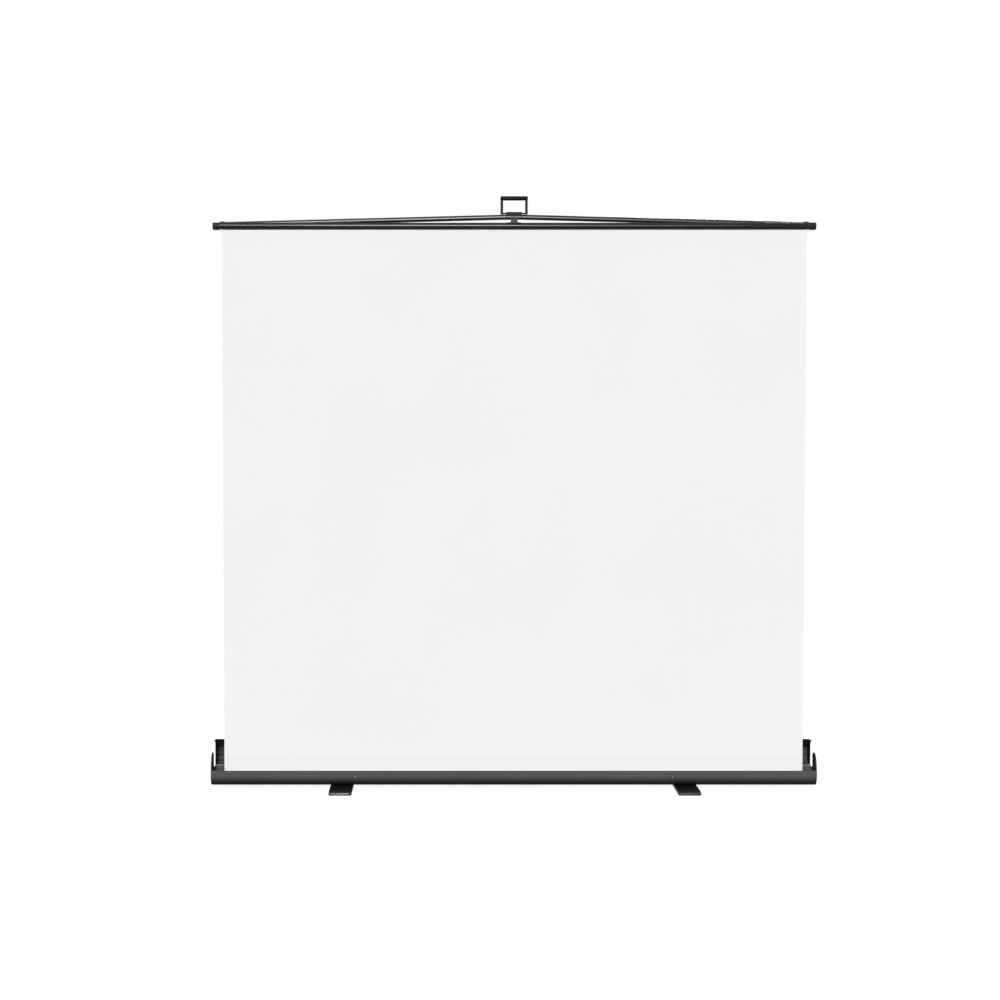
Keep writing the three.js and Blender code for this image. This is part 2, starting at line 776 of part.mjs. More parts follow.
function sweep(shape, curve, steps, curveSegments) {
  return new THREE.ExtrudeGeometry(shape, { extrudePath: curve, steps, bevelEnabled: false, curveSegments });
}
add("torsion_spring", sweep(circle(spring_wire_radius), new Helix(), 8 * spring_turns, 3), plated());

// Fabric: one flat sheet from the roll's rear tangent up to the lower tube
const sheet_bottom_z = roller_z + roll_radius / 2;
const sheet_top_z = crossbar_z - lower_tube_radius - seat_gap;
const sheet = boxBetween(
  -fabric_width / 2, fabric_width / 2,
  fabric_y - fabric_thickness / 2, fabric_y + fabric_thickness / 2, sheet_bottom_z, sheet_top_z,
);
add("fabric_sheet", sheet, screen_white());

// Crossbar: tubes with end blocks, a post between them, and clips at the fabric's corners
const tube_half = crossbar_length / 2 - end_block_width + tube_socket_depth;
const bow_half = crossbar_length / 2 - end_block_width - bow_boss_lap / 2;
const lower_tube_shape = [lower_tube_radius, lower_tube_radius - tube_wall];
add("lower_tube", pipeX(...lower_tube_shape, tube_half, fabric_y, crossbar_z, 14), dark_metal());

// The bow: two straight halves that meet in a short bend over the post
class Bow extends THREE.Curve {
  getPoint(share, target = new THREE.Vector3()) {
    const slope = bow_height / (bow_half - bow_bend_half / 2);
    const across = 2 * share - 1;
    const beyond = Math.max(Math.abs(across) - bow_bend_share, 0) / (1 - bow_bend_share);
    const within = Math.min(Math.abs(across) / bow_bend_share, 1) * bow_bend_half;
    const run = beyond * (bow_half - bow_bend_half);
    const drop = slope * (run + within * within / (2 * bow_bend_half));
    return target.set(Math.sign(across) * (within + run), bowed_y, bowed_mid_z - drop);
  }

  // The steps are closer in the bend, so they aren't spread by length
  getUtoTmapping(share) {
    return share;
  }
}
const bowSolid = (radius) => sweep(circle(radius), new Bow(), bow_steps, 8);
const bow_shape = ring(bowed_tube_radius, bowed_tube_radius - tube_wall);
add("bowed_tube", sweep(bow_shape, new Bow(), bow_steps, 8), dark_metal());

// End blocks: a cap round the lower tube's end, and a boss behind it that takes the bow's end
const block_wall = 2;
const block_edge = 0.7;
const block_low_z = crossbar_z - lower_tube_radius - block_edge;
const block_high_z = crossbar_z + lower_tube_radius + block_edge;

function bossOutline() {
  const top = crossbar_z + bowed_end_rise + bowed_tube_radius + block_wall;
  const end = bow_half + bow_boss_lap;
  const shape = new THREE.Shape();
  shape.moveTo(bow_half - bow_boss_length, crossbar_z + bowed_end_rise - bowed_tube_radius - block_wall);
  shape.lineTo(end + bow_boss_ramp, crossbar_z + bowed_end_rise - bowed_tube_radius - block_wall);
  shape.lineTo(end + bow_boss_ramp, block_high_z);
  shape.lineTo(end, top);
  shape.lineTo(bow_half - bow_boss_length, top);
  return shape;
}

function endBlock(side) {
  const outer = crossbar_length / 2;
  const inner = outer - end_block_width;
  const back = bowed_y + bowed_tube_radius + block_wall;
  const cap = profileAlongX(
    roundedRectangle(
      fabric_y - lower_tube_radius - block_edge, back,
      block_low_z, block_high_z, lower_tube_radius - block_wall,
    ),
    inner, outer, 5,
  );
  const boss_front = bowed_y - bowed_tube_radius - block_wall / 2;
  const boss = plate(bossOutline(), boss_front, back - boss_front, 6);
  const socket = rodX(lower_tube_radius + seat_gap, 0, tube_half + seat_gap, fabric_y, crossbar_z, 32);
  const bow_end = rodX(
    bowed_tube_radius + seat_gap, bow_half - cut_overrun, bow_half + seat_gap,
    bowed_y, crossbar_z + bowed_end_rise, 24,
  );
  const block = cut(join(cap, boss), socket, bowSolid(bowed_tube_radius + seat_gap), bow_end);
  if (side < 0) block.applyMatrix4(new THREE.Matrix4().makeScale(-1, 1, 1));
  return side < 0 ? flipped(block) : block;
}
add("end_block_left", endBlock(-1), black_plastic());
add("end_block_right", endBlock(1), black_plastic());

const clip_width = 4;
const clip_drop = 7;
for (const [side, name] of [[-1, "left"], [1, "right"]]) {
  const near = side * (fabric_width / 2 + seat_gap);
  const far = near + side * clip_width;
  const clip = cut(
    boxBetween(
      Math.min(near, far), Math.max(near, far), fabric_y - clip_width, fabric_y + clip_width,
      crossbar_z - lower_tube_radius - clip_drop, crossbar_z - lower_tube_radius + block_wall,
    ),
    rodX(
      lower_tube_radius + seat_gap / 2, -crossbar_length / 2, crossbar_length / 2,
      fabric_y, crossbar_z, 48,
    ),
  );
  add(`fabric_clip_${name}`, clip, black_plastic());
}

// Apex bracket: two plates behind the lower tube that carry the upper arms' pins
const plate_margin = 6;
const plate_half_width = gear_pitch_radius + pin_radius + plate_margin;
const apex_web_z = apex_pin_z + gear_outer_radius + layer_gap;
const web_thickness = 3;
const plate_lip = 5;

function pinPlate(y, z_low, z_high) {
  const shape = roundedRectangle(-plate_half_width, plate_half_width, z_low, z_high, pin_radius);
  return plate(shape, y, bracket_plate, 4);
}

function pinHoles(z) {
  return [-1, 1].map((side) => rodY(
    pin_radius + running_gap, front_plate_y - bracket_plate, rear_plate_y + 2 * bracket_plate,
    side * gear_pitch_radius, z, 20,
  ));
}

function apexBracket() {
  const low = apex_pin_z - pin_radius - plate_lip;
  const high = apex_web_z + web_thickness;
  const web = boxBetween(
    -plate_half_width, plate_half_width, front_plate_y, rear_plate_y + bracket_plate, apex_web_z, high,
  );
  const saddle = boxBetween(
    -plate_half_width + pin_radius, plate_half_width - pin_radius,
    fabric_y + pin_radius, front_plate_y + bracket_plate / 2,
    crossbar_z - pin_radius, crossbar_z + lower_tube_radius,
  );
  const tube = rodX(
    lower_tube_radius + seat_gap / 2, -crossbar_length / 2, crossbar_length / 2,
    fabric_y, crossbar_z, 48,
  );
  const front_plate = pinPlate(front_plate_y, low, high);
  const rear_plate = pinPlate(rear_plate_y, low, high);
  const whole = join(front_plate, rear_plate, web, cut(saddle, tube));
  return cut(whole, ...pinHoles(apex_pin_z));
}
add("apex_bracket", apexBracket(), dark_metal());

function centrePost() {
  const low = crossbar_z + pin_radius;
  const high = bowed_mid_z - bowed_tube_radius + block_wall;
  const shape = new THREE.Shape();
  shape.moveTo(-post_bottom_width / 2, low);
  shape.lineTo(post_bottom_width / 2, low);
  shape.lineTo(post_top_width / 2, high);
  shape.lineTo(-post_top_width / 2, high);
  return cut(
    plate(shape, fabric_y, bowed_y - fabric_y),
    rodX(
      lower_tube_radius + seat_gap / 2, -crossbar_length / 2, crossbar_length / 2,
      fabric_y, crossbar_z, 48,
    ),
    bowSolid(bowed_tube_radius + seat_gap),
    boxBetween(
      -2 * plate_half_width, 2 * plate_half_width, fabric_y + pin_radius - seat_gap, case_half_depth,
      crossbar_z - lower_tube_radius, apex_web_z + web_thickness + seat_gap,
    ),
  );
}
add("centre_post", centrePost(), dark_metal());

// Pull handle: a bail whose turned-in ends hinge in a bracket on the bowed tube
const leg_inner_x = handle_width / 2 - handle_leg_width - seat_gap;
const leg_outer_x = handle_width / 2 - seat_gap;
const grip_z = handle_hinge_z + handle_height - handle_grip_radius;
const grip_low_z = grip_z - handle_grip_radius;
const bail_pin_x = handle_bracket_width / 2 - handle_pin_length;

// The rod inside the grip and the necks that carry it, with room round them for the grip's bore
function gripRod(room) {
  const neck_x = (leg_inner_x + leg_outer_x) / 2;
  const radius = handle_rod_radius + room;
  const rod = rodX(radius, -neck_x, neck_x, bowed_y, grip_z, 16);
  const necks = [-1, 1].map((side) => {
    const neck = new THREE.CylinderGeometry(radius, radius, handle_grip_radius + handle_corner, 16);
    neck.rotateX(Math.PI / 2);
    neck.translate(side * neck_x, bowed_y, grip_z - (handle_grip_radius + handle_corner) / 2);
    return neck;
  });
  return join(rod, ...necks);
}

function pullHandle() {
  const pieces = [];
  for (const side of [-1, 1]) {
    const from = Math.min(side * leg_inner_x, side * leg_outer_x);
    const to = Math.max(side * leg_inner_x, side * leg_outer_x);
    pieces.push(boxBetween(
      from, to, bowed_y - handle_rod_radius, bowed_y + handle_rod_radius,
      handle_hinge_z, grip_low_z - seat_gap,
    ));
    pieces.push(rodX(handle_rod_radius, from, to, bowed_y, handle_hinge_z, 20));
    const pin_from = Math.min(side * bail_pin_x, side * leg_outer_x);
    const pin_to = Math.max(side * bail_pin_x, side * leg_outer_x);
    pieces.push(rodX(handle_pivot_radius, pin_from, pin_to, bowed_y, handle_hinge_z, 20));
  }
  return join(gripRod(0), ...pieces);
}
add("pull_handle", pullHandle(), plated());

function handleGrip() {
  const half = handle_width / 2;
  const front = roundedRectangle(-half, half, grip_low_z, grip_z + handle_grip_radius, handle_corner);
  const across = profileAlongX(circle(handle_grip_radius), -half, half, 14);
  across.translate(0, bowed_y, grip_z);
  const face = plate(front, bowed_y - 2 * handle_grip_radius, 4 * handle_grip_radius, 5);
  return cut(unsolid(solid(face).intersect(solid(across))), gripRod(seat_gap));
}
add("handle_grip", handleGrip(), black_plastic());

function handleBracket() {
  const half = handle_bracket_width / 2;
  const block = boxBetween(
    -half, half, bowed_y - bowed_tube_radius, bowed_y + bowed_tube_radius,
    bowed_mid_z, handle_hinge_z + handle_pivot_radius + block_wall,
  );
  const tools = [bowSolid(bowed_tube_radius + seat_gap)];
  for (const side of [-1, 1]) {
    const from = side * (bail_pin_x - running_gap);
    const to = side * (half + cut_overrun);
    tools.push(rodX(
      handle_pivot_radius + running_gap, Math.min(from, to), Math.max(from, to), bowed_y, handle_hinge_z, 24,
    ));
  }
  return cut(block, ...tools);
}
add("handle_bracket", handleBracket(), black_plastic());

// Sector gears: involute teeth over the part of the hub that meshes
function involute(angle) {
  return Math.tan(angle) - angle;
}

function toothHalfAngle(radius) {
  const base_radius = gear_pitch_radius * Math.cos(pressure_angle);
  const at = Math.acos(Math.min(1, base_radius / Math.max(radius, base_radius)));
  const half_at_pitch = Math.PI / (2 * gear_teeth) - gear_backlash / (2 * gear_pitch_radius);
  return half_at_pitch + involute(pressure_angle) - involute(at);
}

function sectorGear(first_angle, last_angle, phase, y) {
  const pitch = 2 * Math.PI / gear_teeth;
  const base_radius = gear_pitch_radius * Math.cos(pressure_angle);
  const radii = [gear_root_radius, base_radius, gear_pitch_radius, gear_outer_radius];
  const points = [];
  const push = (radius, angle) => {
    points.push(new THREE.Vector2(radius * Math.cos(angle), radius * Math.sin(angle)));
  };
  const start = Math.round((first_angle - phase) / pitch);
  for (let index = 0; index < gear_teeth; index += 1) {
    const centre = phase + (start + index) * pitch;
    if (centre > last_angle + pitch / 2) {
      for (const quarter of [-2, -1, 0, 1]) push(gear_root_radius, centre + quarter * pitch / 4);
      continue;
    }
    push(gear_root_radius, centre - pitch / 2);
    for (const radius of radii) push(radius, centre - toothHalfAngle(radius));
    for (const radius of [...radii].reverse()) push(radius, centre + toothHalfAngle(radius));
  }
  return plate(new THREE.Shape(points), y, bar_thickness);
}

// A flat bar in its own frame: from its first end on +X to its last, with round ends and pin holes
function flatBar(from, to, y, holes) {
  const shape = new THREE.Shape();
  shape.absarc(to, 0, bar_width / 2, -Math.PI / 2, Math.PI / 2);
  shape.absarc(from, 0, bar_width / 2, Math.PI / 2, 1.5 * Math.PI);
  for (const [x, radius] of holes) {
    const hole = new THREE.Path();
    hole.absarc(x, 0, radius, 0, 2 * Math.PI, true);
    shape.holes.push(hole);
  }
  return plate(shape, y, bar_thickness, 8);
}

// An arm with its sector gear at the pin; angles are as seen from the front, anticlockwise from +X
function gearArm(length, direction, first_angle, last_angle, phase, end_hole) {
  const hole = pin_radius + running_gap;
  const bar = flatBar(gear_root_radius / 2, length, arm_y, [[length, end_hole]]);
  const gear = sectorGear(first_angle - direction, last_angle - direction, phase - direction, arm_y);
  const bore = rodY(hole, arm_y - cut_overrun, arm_y + bar_thickness + cut_overrun, 0, 0, 24);
  return cut(join(bar, gear), bore);
}

function place(mesh, x, z, direction) {
  mesh.position.set(x, 0, z);
  mesh.rotation.y = -direction;
  return mesh;
}

const tooth_pitch = 2 * Math.PI / gear_teeth;
const lower_direction = rest.lower_angle;
const upper_direction = Math.PI + rest.upper_angle;
const tooth_margin_share = 1.2;
const tooth_margin = tooth_margin_share * tooth_pitch;

const lower_right = gearArm(
  lower_arm_length, lower_direction, Math.PI - tooth_margin, Math.PI + fold_swing + tooth_margin, Math.PI,
  pin_radius + running_gap,
);
place(add("lower_arm_right", lower_right, dark_metal()), gear_pitch_radius, base_pin_z, lower_direction);
const lower_left = gearArm(
  lower_arm_length, Math.PI - lower_direction, -fold_swing - tooth_margin, tooth_margin, tooth_pitch / 2,
  pin_radius + running_gap,
);
const left_arm = add("lower_arm_left", lower_left, dark_metal());
place(left_arm, -gear_pitch_radius, base_pin_z, Math.PI - lower_direction);

const upper_left = gearArm(
  upper_arm_length, upper_direction, -tooth_margin, fold_swing + tooth_margin, 0, pin_radius + running_gap,
);
place(add("upper_arm_left", upper_left, dark_metal()), -gear_pitch_radius, apex_pin_z, upper_direction);
const upper_right = gearArm(
  upper_arm_length, -rest.upper_angle, Math.PI - fold_swing - tooth_margin, Math.PI + tooth_margin,
  Math.PI + tooth_pitch / 2, pin_radius + open_elbow_clearance,
);
place(add("upper_arm_right", upper_right, dark_metal()), gear_pitch_radius, apex_pin_z, -rest.upper_angle);

// Crossed bars: origin at the centre pin, the upper half along +X
const bar_hole = pin_radius + running_gap;
const front_bar = flatBar(-cross_lower_half, cross_upper_half, bar_1_y, [
  [-cross_lower_half, bar_hole], [0, bar_hole], [cross_upper_half, bar_hole],
]);
place(add("cross_bar_front", front_bar, dark_metal()), 0, scissor_centre.y, Math.PI - rest.cross_angle);
const rear_bar = flatBar(-cross_lower_half, cross_upper_half, bar_2_y, [
  [-cross_lower_half, bar_hole], [0, pin_radius + centre_pin_clearance], [cross_upper_half, bar_hole],
]);
place(add("cross_bar_rear", rear_bar, dark_metal()), 0, scissor_centre.y, rest.cross_angle);

// Base bracket: two plates on the floor for the lower arms' pins, with a stud each side for the struts
const strut_stud_length = layer_gap + 2 * strut_radius + layer_gap;
const bracket_lip = 4;

function baseBracket() {
  const high = base_pin_z + pin_radius + bracket_lip;
  const low = foot_height;
  const sole = boxBetween(
    -plate_half_width, plate_half_width, front_plate_y, rear_plate_y + bracket_plate,
    low, floor_z + bracket_plate / 2,
  );
  const front_stud = rodY(
    pin_radius, front_plate_y - strut_stud_length, front_plate_y + bracket_plate / 2,
    0, base_pin_z, 20,
  );
  const rear_face = rear_plate_y + bracket_plate;
  const rear_stud = rodY(
    pin_radius, rear_face - bracket_plate / 2, rear_face + strut_stud_length,
    0, base_pin_z, 20,
  );
  const whole = cut(
    join(pinPlate(front_plate_y, low, high), pinPlate(rear_plate_y, low, high), sole, front_stud, rear_stud),
    ...pinHoles(base_pin_z),
  );
  const room = solid(profileAlongX(closedTub(case_wall + seat_gap / 2), -case_length / 2, case_length / 2));
  return unsolid(solid(whole).intersect(room));
}
add("base_bracket", baseBracket(), dark_metal());

// Pins: plain ones end flush in the bracket plates, elbow pins have a head at the front or the rear
function plainPin(name, x, z) {
  const from = front_plate_y + seat_gap;
  const to = rear_plate_y + bracket_plate - seat_gap;
  add(name, rodY(pin_radius, from, to, x, z, 20), plated());
}
plainPin("base_pin_left", -gear_pitch_radius, base_pin_z);
plainPin("base_pin_right", gear_pitch_radius, base_pin_z);
plainPin("apex_pin_left", -gear_pitch_radius, apex_pin_z);
plainPin("apex_pin_right", gear_pitch_radius, apex_pin_z);

const head_thickness = 1.8;

function headedPin(name, x, z, tail_y, head_y) {
  const toward_head = Math.sign(head_y - tail_y);
  const head_end = head_y + toward_head * head_thickness;
  const shank = rodY(pin_radius, Math.min(tail_y, head_end), Math.max(tail_y, head_end), x, z, 20);
  const head = rodY(pin_head_radius, Math.min(head_y, head_end), Math.max(head_y, head_end), x, z, 20);
  add(name, join(shank, head), plated());
}
const front_head_y = bar_1_y - running_gap;
const rear_head_y = bar_2_y + bar_thickness + running_gap;
headedPin("lower_elbow_pin_right", lower_elbow.x, lower_elbow.y, arm_y + bar_thickness, front_head_y);
headedPin("upper_elbow_pin_left", -upper_elbow.x, upper_elbow.y, arm_y + bar_thickness, front_head_y);
headedPin("lower_elbow_pin_left", -lower_elbow.x, lower_elbow.y, arm_y, rear_head_y);
headedPin("upper_elbow_pin_right", upper_elbow.x, upper_elbow.y, arm_y, rear_head_y);
headedPin("centre_pin", 0, scissor_centre.y, bar_2_y + bar_thickness, front_head_y);

// Gas struts: the rod turns on the base stud, the cylinder's stud faces its cross bar
const strut_top = new THREE.Vector2(
  lower_elbow.x - strut_reach * Math.cos(rest.cross_angle),
  lower_elbow.y + strut_reach * Math.sin(rest.cross_angle),
);
const strut_length = Math.hypot(strut_top.x, strut_top.y - base_pin_z);
const strut_direction = Math.atan2(strut_top.y - base_pin_z, strut_top.x);
const gland_length = 12;
const rod_inside = 30;
const strut_wall = 1;
const strut_neck = 2;

function strutRod(y) {
  const cylinder_foot = strut_length - strut_cylinder_length;
  const shaft = turnedX([
    [strut_eye_radius - strut_wall, 0],
    [strut_eye_radius - strut_wall, strut_rod_radius],
    [cylinder_foot + rod_inside, strut_rod_radius],
    [cylinder_foot + rod_inside, 0],
  ], y, 0, 14);
  const eye = rodY(strut_eye_radius, y - strut_radius, y + strut_radius, 0, 0, 20);
  const bore = rodY(bar_hole, y - 2 * strut_radius, y + 2 * strut_radius, 0, 0, 20);
  return cut(join(shaft, eye), bore);
}

function strutCylinder(y, stud_face) {
  const foot = strut_length - strut_cylinder_length;
  const bore = strut_rod_radius + running_gap;
  const inside = strut_radius - strut_wall;
  const body = turnedX([
    [foot, bore],
    [foot, strut_radius],
    [strut_length - strut_eye_radius, strut_radius],
    [strut_length - strut_eye_radius + strut_neck, strut_radius - strut_neck],
    [strut_length, strut_radius - strut_neck],
    [strut_length, 0],
    [strut_length - 2 * strut_eye_radius, 0],
    [strut_length - 2 * strut_eye_radius, inside],
    [foot + gland_length, inside],
    [foot + gland_length, bore],
    [foot, bore],
  ], y, 0, 14);
  const near = y + Math.sign(stud_face - y) * strut_radius / 2;
  const eye = rodY(strut_eye_radius, y - strut_radius, y + strut_radius, strut_length, 0, 20);
  const stud = rodY(pin_radius, Math.min(near, stud_face), Math.max(near, stud_face), strut_length, 0, 20);
  return join(body, eye, stud);
}

const struts = [
  ["right", strut_front_y, strut_direction, bar_1_y - running_gap],
  ["left", strut_rear_y, Math.PI - strut_direction, bar_2_y + bar_thickness + running_gap],
];
for (const [name, y, direction, stud_face] of struts) {
  place(add(`strut_rod_${name}`, strutRod(y), plated()), 0, base_pin_z, direction);
  const cylinder = add(`strut_cylinder_${name}`, strutCylinder(y, stud_face), black_plastic());
  place(cylinder, 0, base_pin_z, direction);
}

export default screen;
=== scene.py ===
import json
import math

import bmesh
import bpy
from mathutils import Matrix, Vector

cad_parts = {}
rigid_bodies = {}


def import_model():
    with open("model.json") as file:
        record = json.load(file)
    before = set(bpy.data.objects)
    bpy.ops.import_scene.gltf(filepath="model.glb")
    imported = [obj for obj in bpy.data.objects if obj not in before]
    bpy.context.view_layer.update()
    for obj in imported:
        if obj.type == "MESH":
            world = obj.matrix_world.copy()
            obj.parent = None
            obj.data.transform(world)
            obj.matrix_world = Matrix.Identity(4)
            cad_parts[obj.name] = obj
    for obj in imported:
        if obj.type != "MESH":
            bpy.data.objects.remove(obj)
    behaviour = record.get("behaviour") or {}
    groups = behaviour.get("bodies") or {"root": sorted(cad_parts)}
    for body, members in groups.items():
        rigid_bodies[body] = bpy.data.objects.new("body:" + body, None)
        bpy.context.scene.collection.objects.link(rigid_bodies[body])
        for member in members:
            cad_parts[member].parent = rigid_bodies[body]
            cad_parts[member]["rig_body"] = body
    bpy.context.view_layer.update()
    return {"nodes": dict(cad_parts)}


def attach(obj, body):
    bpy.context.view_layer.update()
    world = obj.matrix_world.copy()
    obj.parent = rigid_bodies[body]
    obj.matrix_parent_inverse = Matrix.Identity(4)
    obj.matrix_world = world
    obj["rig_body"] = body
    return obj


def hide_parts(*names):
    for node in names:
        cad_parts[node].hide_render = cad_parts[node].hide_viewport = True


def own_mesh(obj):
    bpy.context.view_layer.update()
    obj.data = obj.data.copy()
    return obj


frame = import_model()


# The camera stands 6.3 m in front of the screen, a little left of its middle, and looks down
# slightly. The sideways shift is how the photograph was framed.
def placed(name, data):
    """A new object in the scene that holds this mesh, lamp or camera."""
    piece = bpy.data.objects.new(name, data)
    bpy.context.scene.collection.objects.link(piece)
    return piece


lens_data = bpy.data.cameras.new("camera")
lens_data.lens = 66.24
lens_data.sensor_width = 36
lens_data.shift_x = 0.0526
camera = placed("camera", lens_data)
camera.location = (-0.2286, -6.33, 1.27)
camera.rotation_euler = (math.radians(87.51), 0, 0)
bpy.context.scene.camera = camera
bpy.context.scene.view_settings.view_transform = "Standard"


# Studio: a pale floor that keeps the shadow, a white surround that only the camera and
# reflections see at full strength, a broad soft sun high in front and a lamp behind. Two strips
# and a low lamp show in reflections only.
class Shade:
    """A socket of a node tree. Operators add Math nodes, and make() adds any other node."""

    def __init__(self, tree, socket=None):
        self.tree = tree
        self.socket = socket

    def make(self, kind, settings=None, sockets=None, output=0):
        node = self.tree.nodes.new(kind)
        for name, value in (settings or {}).items():
            setattr(node, name, value)
        for key, value in (sockets or {}).items():
            if isinstance(value, Shade):
                self.tree.links.new(value.socket, node.inputs[key])
            else:
                node.inputs[key].default_value = value
        return Shade(self.tree, node.outputs[output])

    def math(self, operation, first, second=0.0, clamp=False):
        settings = {"operation": operation, "use_clamp": clamp}
        return self.make("ShaderNodeMath", settings, {0: first, 1: second})

    def blend(self, factor, first, second):
        """A mix of two colours. Its sockets go by number, because other kinds share their names."""
        settings = {"data_type": "RGBA"}
        return self.make("ShaderNodeMix", settings, {0: factor, 6: first, 7: second}, output=2)

    def __add__(self, other):
        return self.math("ADD", self, other)

    def __sub__(self, other):
        return self.math("SUBTRACT", self, other)

    def __mul__(self, other):
        return self.math("MULTIPLY", self, other)


ambient_strength = 0.3
surround = bpy.data.worlds.new("surround")
bpy.context.scene.world = surround
surround.use_nodes = True
air = Shade(surround.node_tree)
surround.node_tree.nodes.clear()


def seen_directly(shade):
    """1 for rays from the camera, a reflection or a clear surface, else 0."""
    kinds = ("Is Camera Ray", "Is Glossy Ray", "Is Transmission Ray")
    camera_ray, glossy_ray, clear_ray = (shade.make("ShaderNodeLightPath", output=kind) for kind in kinds)
    return shade.math("MAXIMUM", shade.math("MAXIMUM", camera_ray, glossy_ray), clear_ray)


white = (1, 1, 1, 1)
soft = air.make("ShaderNodeBackground", sockets={"Color": white, "Strength": ambient_strength})
full = air.make("ShaderNodeBackground", sockets={"Color": white, "Strength": 1.0})
sky = air.make("ShaderNodeMixShader", sockets={0: seen_directly(air), 1: soft, 2: full})
world_output = surround.node_tree.nodes.new("ShaderNodeOutputWorld")
surround.node_tree.links.new(sky.socket, world_output.inputs["Surface"])


def light(name, kind, place, target, energy, gloss_only=False, **settings):
    """A lamp at place, aimed at target. A gloss lamp shows in reflections and lights nothing else."""
    made = bpy.data.lights.new(name, kind)
    made.energy = energy
    for setting, value in settings.items():
        setattr(made, setting, value)
    holder = placed(name, made)
    holder.visible_diffuse = not gloss_only
    holder.location = place
    holder.rotation_mode = "QUATERNION"
    holder.rotation_quaternion = (Vector(target) - Vector(place)).to_track_quat("-Z", "Y")


def shaped(name, verts, faces, finishes=(), kinds=()):
    """A mesh of these faces. Kinds gives each face the number of its finish."""
    mesh = bpy.data.meshes.new(name)
    mesh.from_pydata(verts, [], faces)
    for made in finishes:
        mesh.materials.append(made)
    if kinds:
        mesh.polygons.foreach_set("material_index", kinds)
    return mesh


middle = (0, 0, 1.0)
sun_spread = math.radians(14)
low_lamp_cone = math.radians(34)
strip_y, strip_z, strip_height, strip_aim_z = -4.0, 2.6, 1.1, 1.93
light("front_light", "SUN", place=(-0.4, -4.0, 3.2), target=middle, energy=2.97, angle=sun_spread)
light("rear_lamp", "AREA", place=(1.1, 3.2, 2.6), target=middle, energy=90, shape="SQUARE", size=1.2)
for name, x, energy, length in (("long_strip", -0.35, 260, 1.3), ("short_strip", 0.8, 80, 1.0)):
    light(
        name, "AREA", (x, strip_y, strip_z), (x, 0, strip_aim_z), energy, gloss_only=True,
        shape="RECTANGLE", size=length, size_y=strip_height,
    )
light(
    "low_lamp", "SPOT", place=(0, -3.0, 1.2), target=(0, -0.15, 0), energy=22, gloss_only=True,
    shadow_soft_size=0.15, spot_size=low_lamp_cone,
)

floor_size = 60
floor_grey = (0.25, 0.25, 0.25, 1)
floor_glow = 0.86
bounce_grey = (0.1, 0.1, 0.1, 1)
floor_corners = [(x * floor_size, y * floor_size, 0) for x, y in ((-1, -1), (1, -1), (1, 1), (-1, 1))]
floor_mesh = shaped("floor", floor_corners, [(0, 1, 2, 3)])
placed("floor", floor_mesh)
floor_paint = bpy.data.materials.new("pale_floor")
floor_paint.use_nodes = True
ground = Shade(floor_paint.node_tree)
floor_paint.node_tree.nodes.clear()
matt = ground.make("ShaderNodeBsdfDiffuse", sockets={"Color": floor_grey})
glow = ground.make("ShaderNodeEmission", sockets={"Color": white, "Strength": floor_glow})
lit = ground.make("ShaderNodeAddShader", sockets={0: matt, 1: glow})
dim = ground.make("ShaderNodeBsdfDiffuse", sockets={"Color": bounce_grey})
cover = ground.make("ShaderNodeMixShader", sockets={0: seen_directly(ground), 1: dim, 2: lit})
floor_output = floor_paint.node_tree.nodes.new("ShaderNodeOutputMaterial")
floor_paint.node_tree.links.new(cover.socket, floor_output.inputs["Surface"])
floor_mesh.materials.append(floor_paint)


# Trough of the case: a folded and painted metal shell with a bulged front, satin black.
# It lies on the two feet, and everything else is fixed in it.
weld_distance = 2e-5


def finish(name, colour, roughness, metallic=0.0, specular=0.5):
    """A new material and its first shader, with the values that are the same all over."""
    made = bpy.data.materials.new(name)
    made.use_nodes = True
    surface = made.node_tree.nodes["Principled BSDF"]
    surface.inputs["Base Color"].default_value = (*colour, 1)
    surface.inputs["Roughness"].default_value = roughness
    surface.inputs["Metallic"].default_value = metallic
    surface.inputs["Specular IOR Level"].default_value = specular
    return made, Shade(made.node_tree), surface


def object_point(shade):
    return shade.make("ShaderNodeTexCoord", output="Object")


def along(shade, axis):
    """The place along the object's own X, Y or Z axis, in metres."""
    return shade.make("ShaderNodeSeparateXYZ", sockets={"Vector": object_point(shade)}, output=axis)


def noise(shade, scale, detail=2.0, stretch=None):
    """Noise from 0 to 1 on the object's own coordinates, in metres."""
    point = object_point(shade)
    if stretch:
        point = shade.make("ShaderNodeMapping", sockets={"Vector": point, "Scale": stretch})
    sockets = {"Vector": point, "Scale": scale, "Detail": detail}
    return shade.make("ShaderNodeTexNoise", sockets=sockets)


def feed(shade, surface, key, value):
    shade.tree.links.new(value.socket, surface.inputs[key])


def bump(shade, surface, height, distance, strength=1.0):
    sockets = {"Height": height, "Distance": distance, "Strength": strength}
    feed(shade, surface, "Normal", shade.make("ShaderNodeBump", sockets=sockets))


def scaled(colour, factor):
    return (*(channel * factor for channel in colour), 1)


def rising(shade, low, high):
    """0 below the height low and 1 above the height high."""
    return shade.math("MULTIPLY", along(shade, "Z") - low, 1 / (high - low), clamp=True)


def painted(
    name, colour, roughness, grain_scale=900, grain=0.00002, specular=0.5,
    painted_shade_between=None, painted_shade_share=0.18,
):
    """Sprayed paint: fine orange peel, soft cloudy tone, and patches that are a little shinier.

    Where two heights are given, the paint darkens from the higher to the lower: painted shade, standing
    in for the shade under a bulged front."""
    made, shade, surface = finish(name, colour, roughness, specular=specular)
    cloud = noise(shade, 3.5, 3.0)
    tone = shade.blend(cloud, scaled(colour, 0.8), scaled(colour, 1.2))
    if painted_shade_between:
        tone = shade.blend(rising(shade, *painted_shade_between), scaled(colour, painted_shade_share), tone)
    feed(shade, surface, "Base Color", tone)
    feed(shade, surface, "Roughness", noise(shade, 9.0, 4.0) * 0.16 + (roughness - 0.08))
    bump(shade, surface, noise(shade, grain_scale, 3.0), grain)
    return made


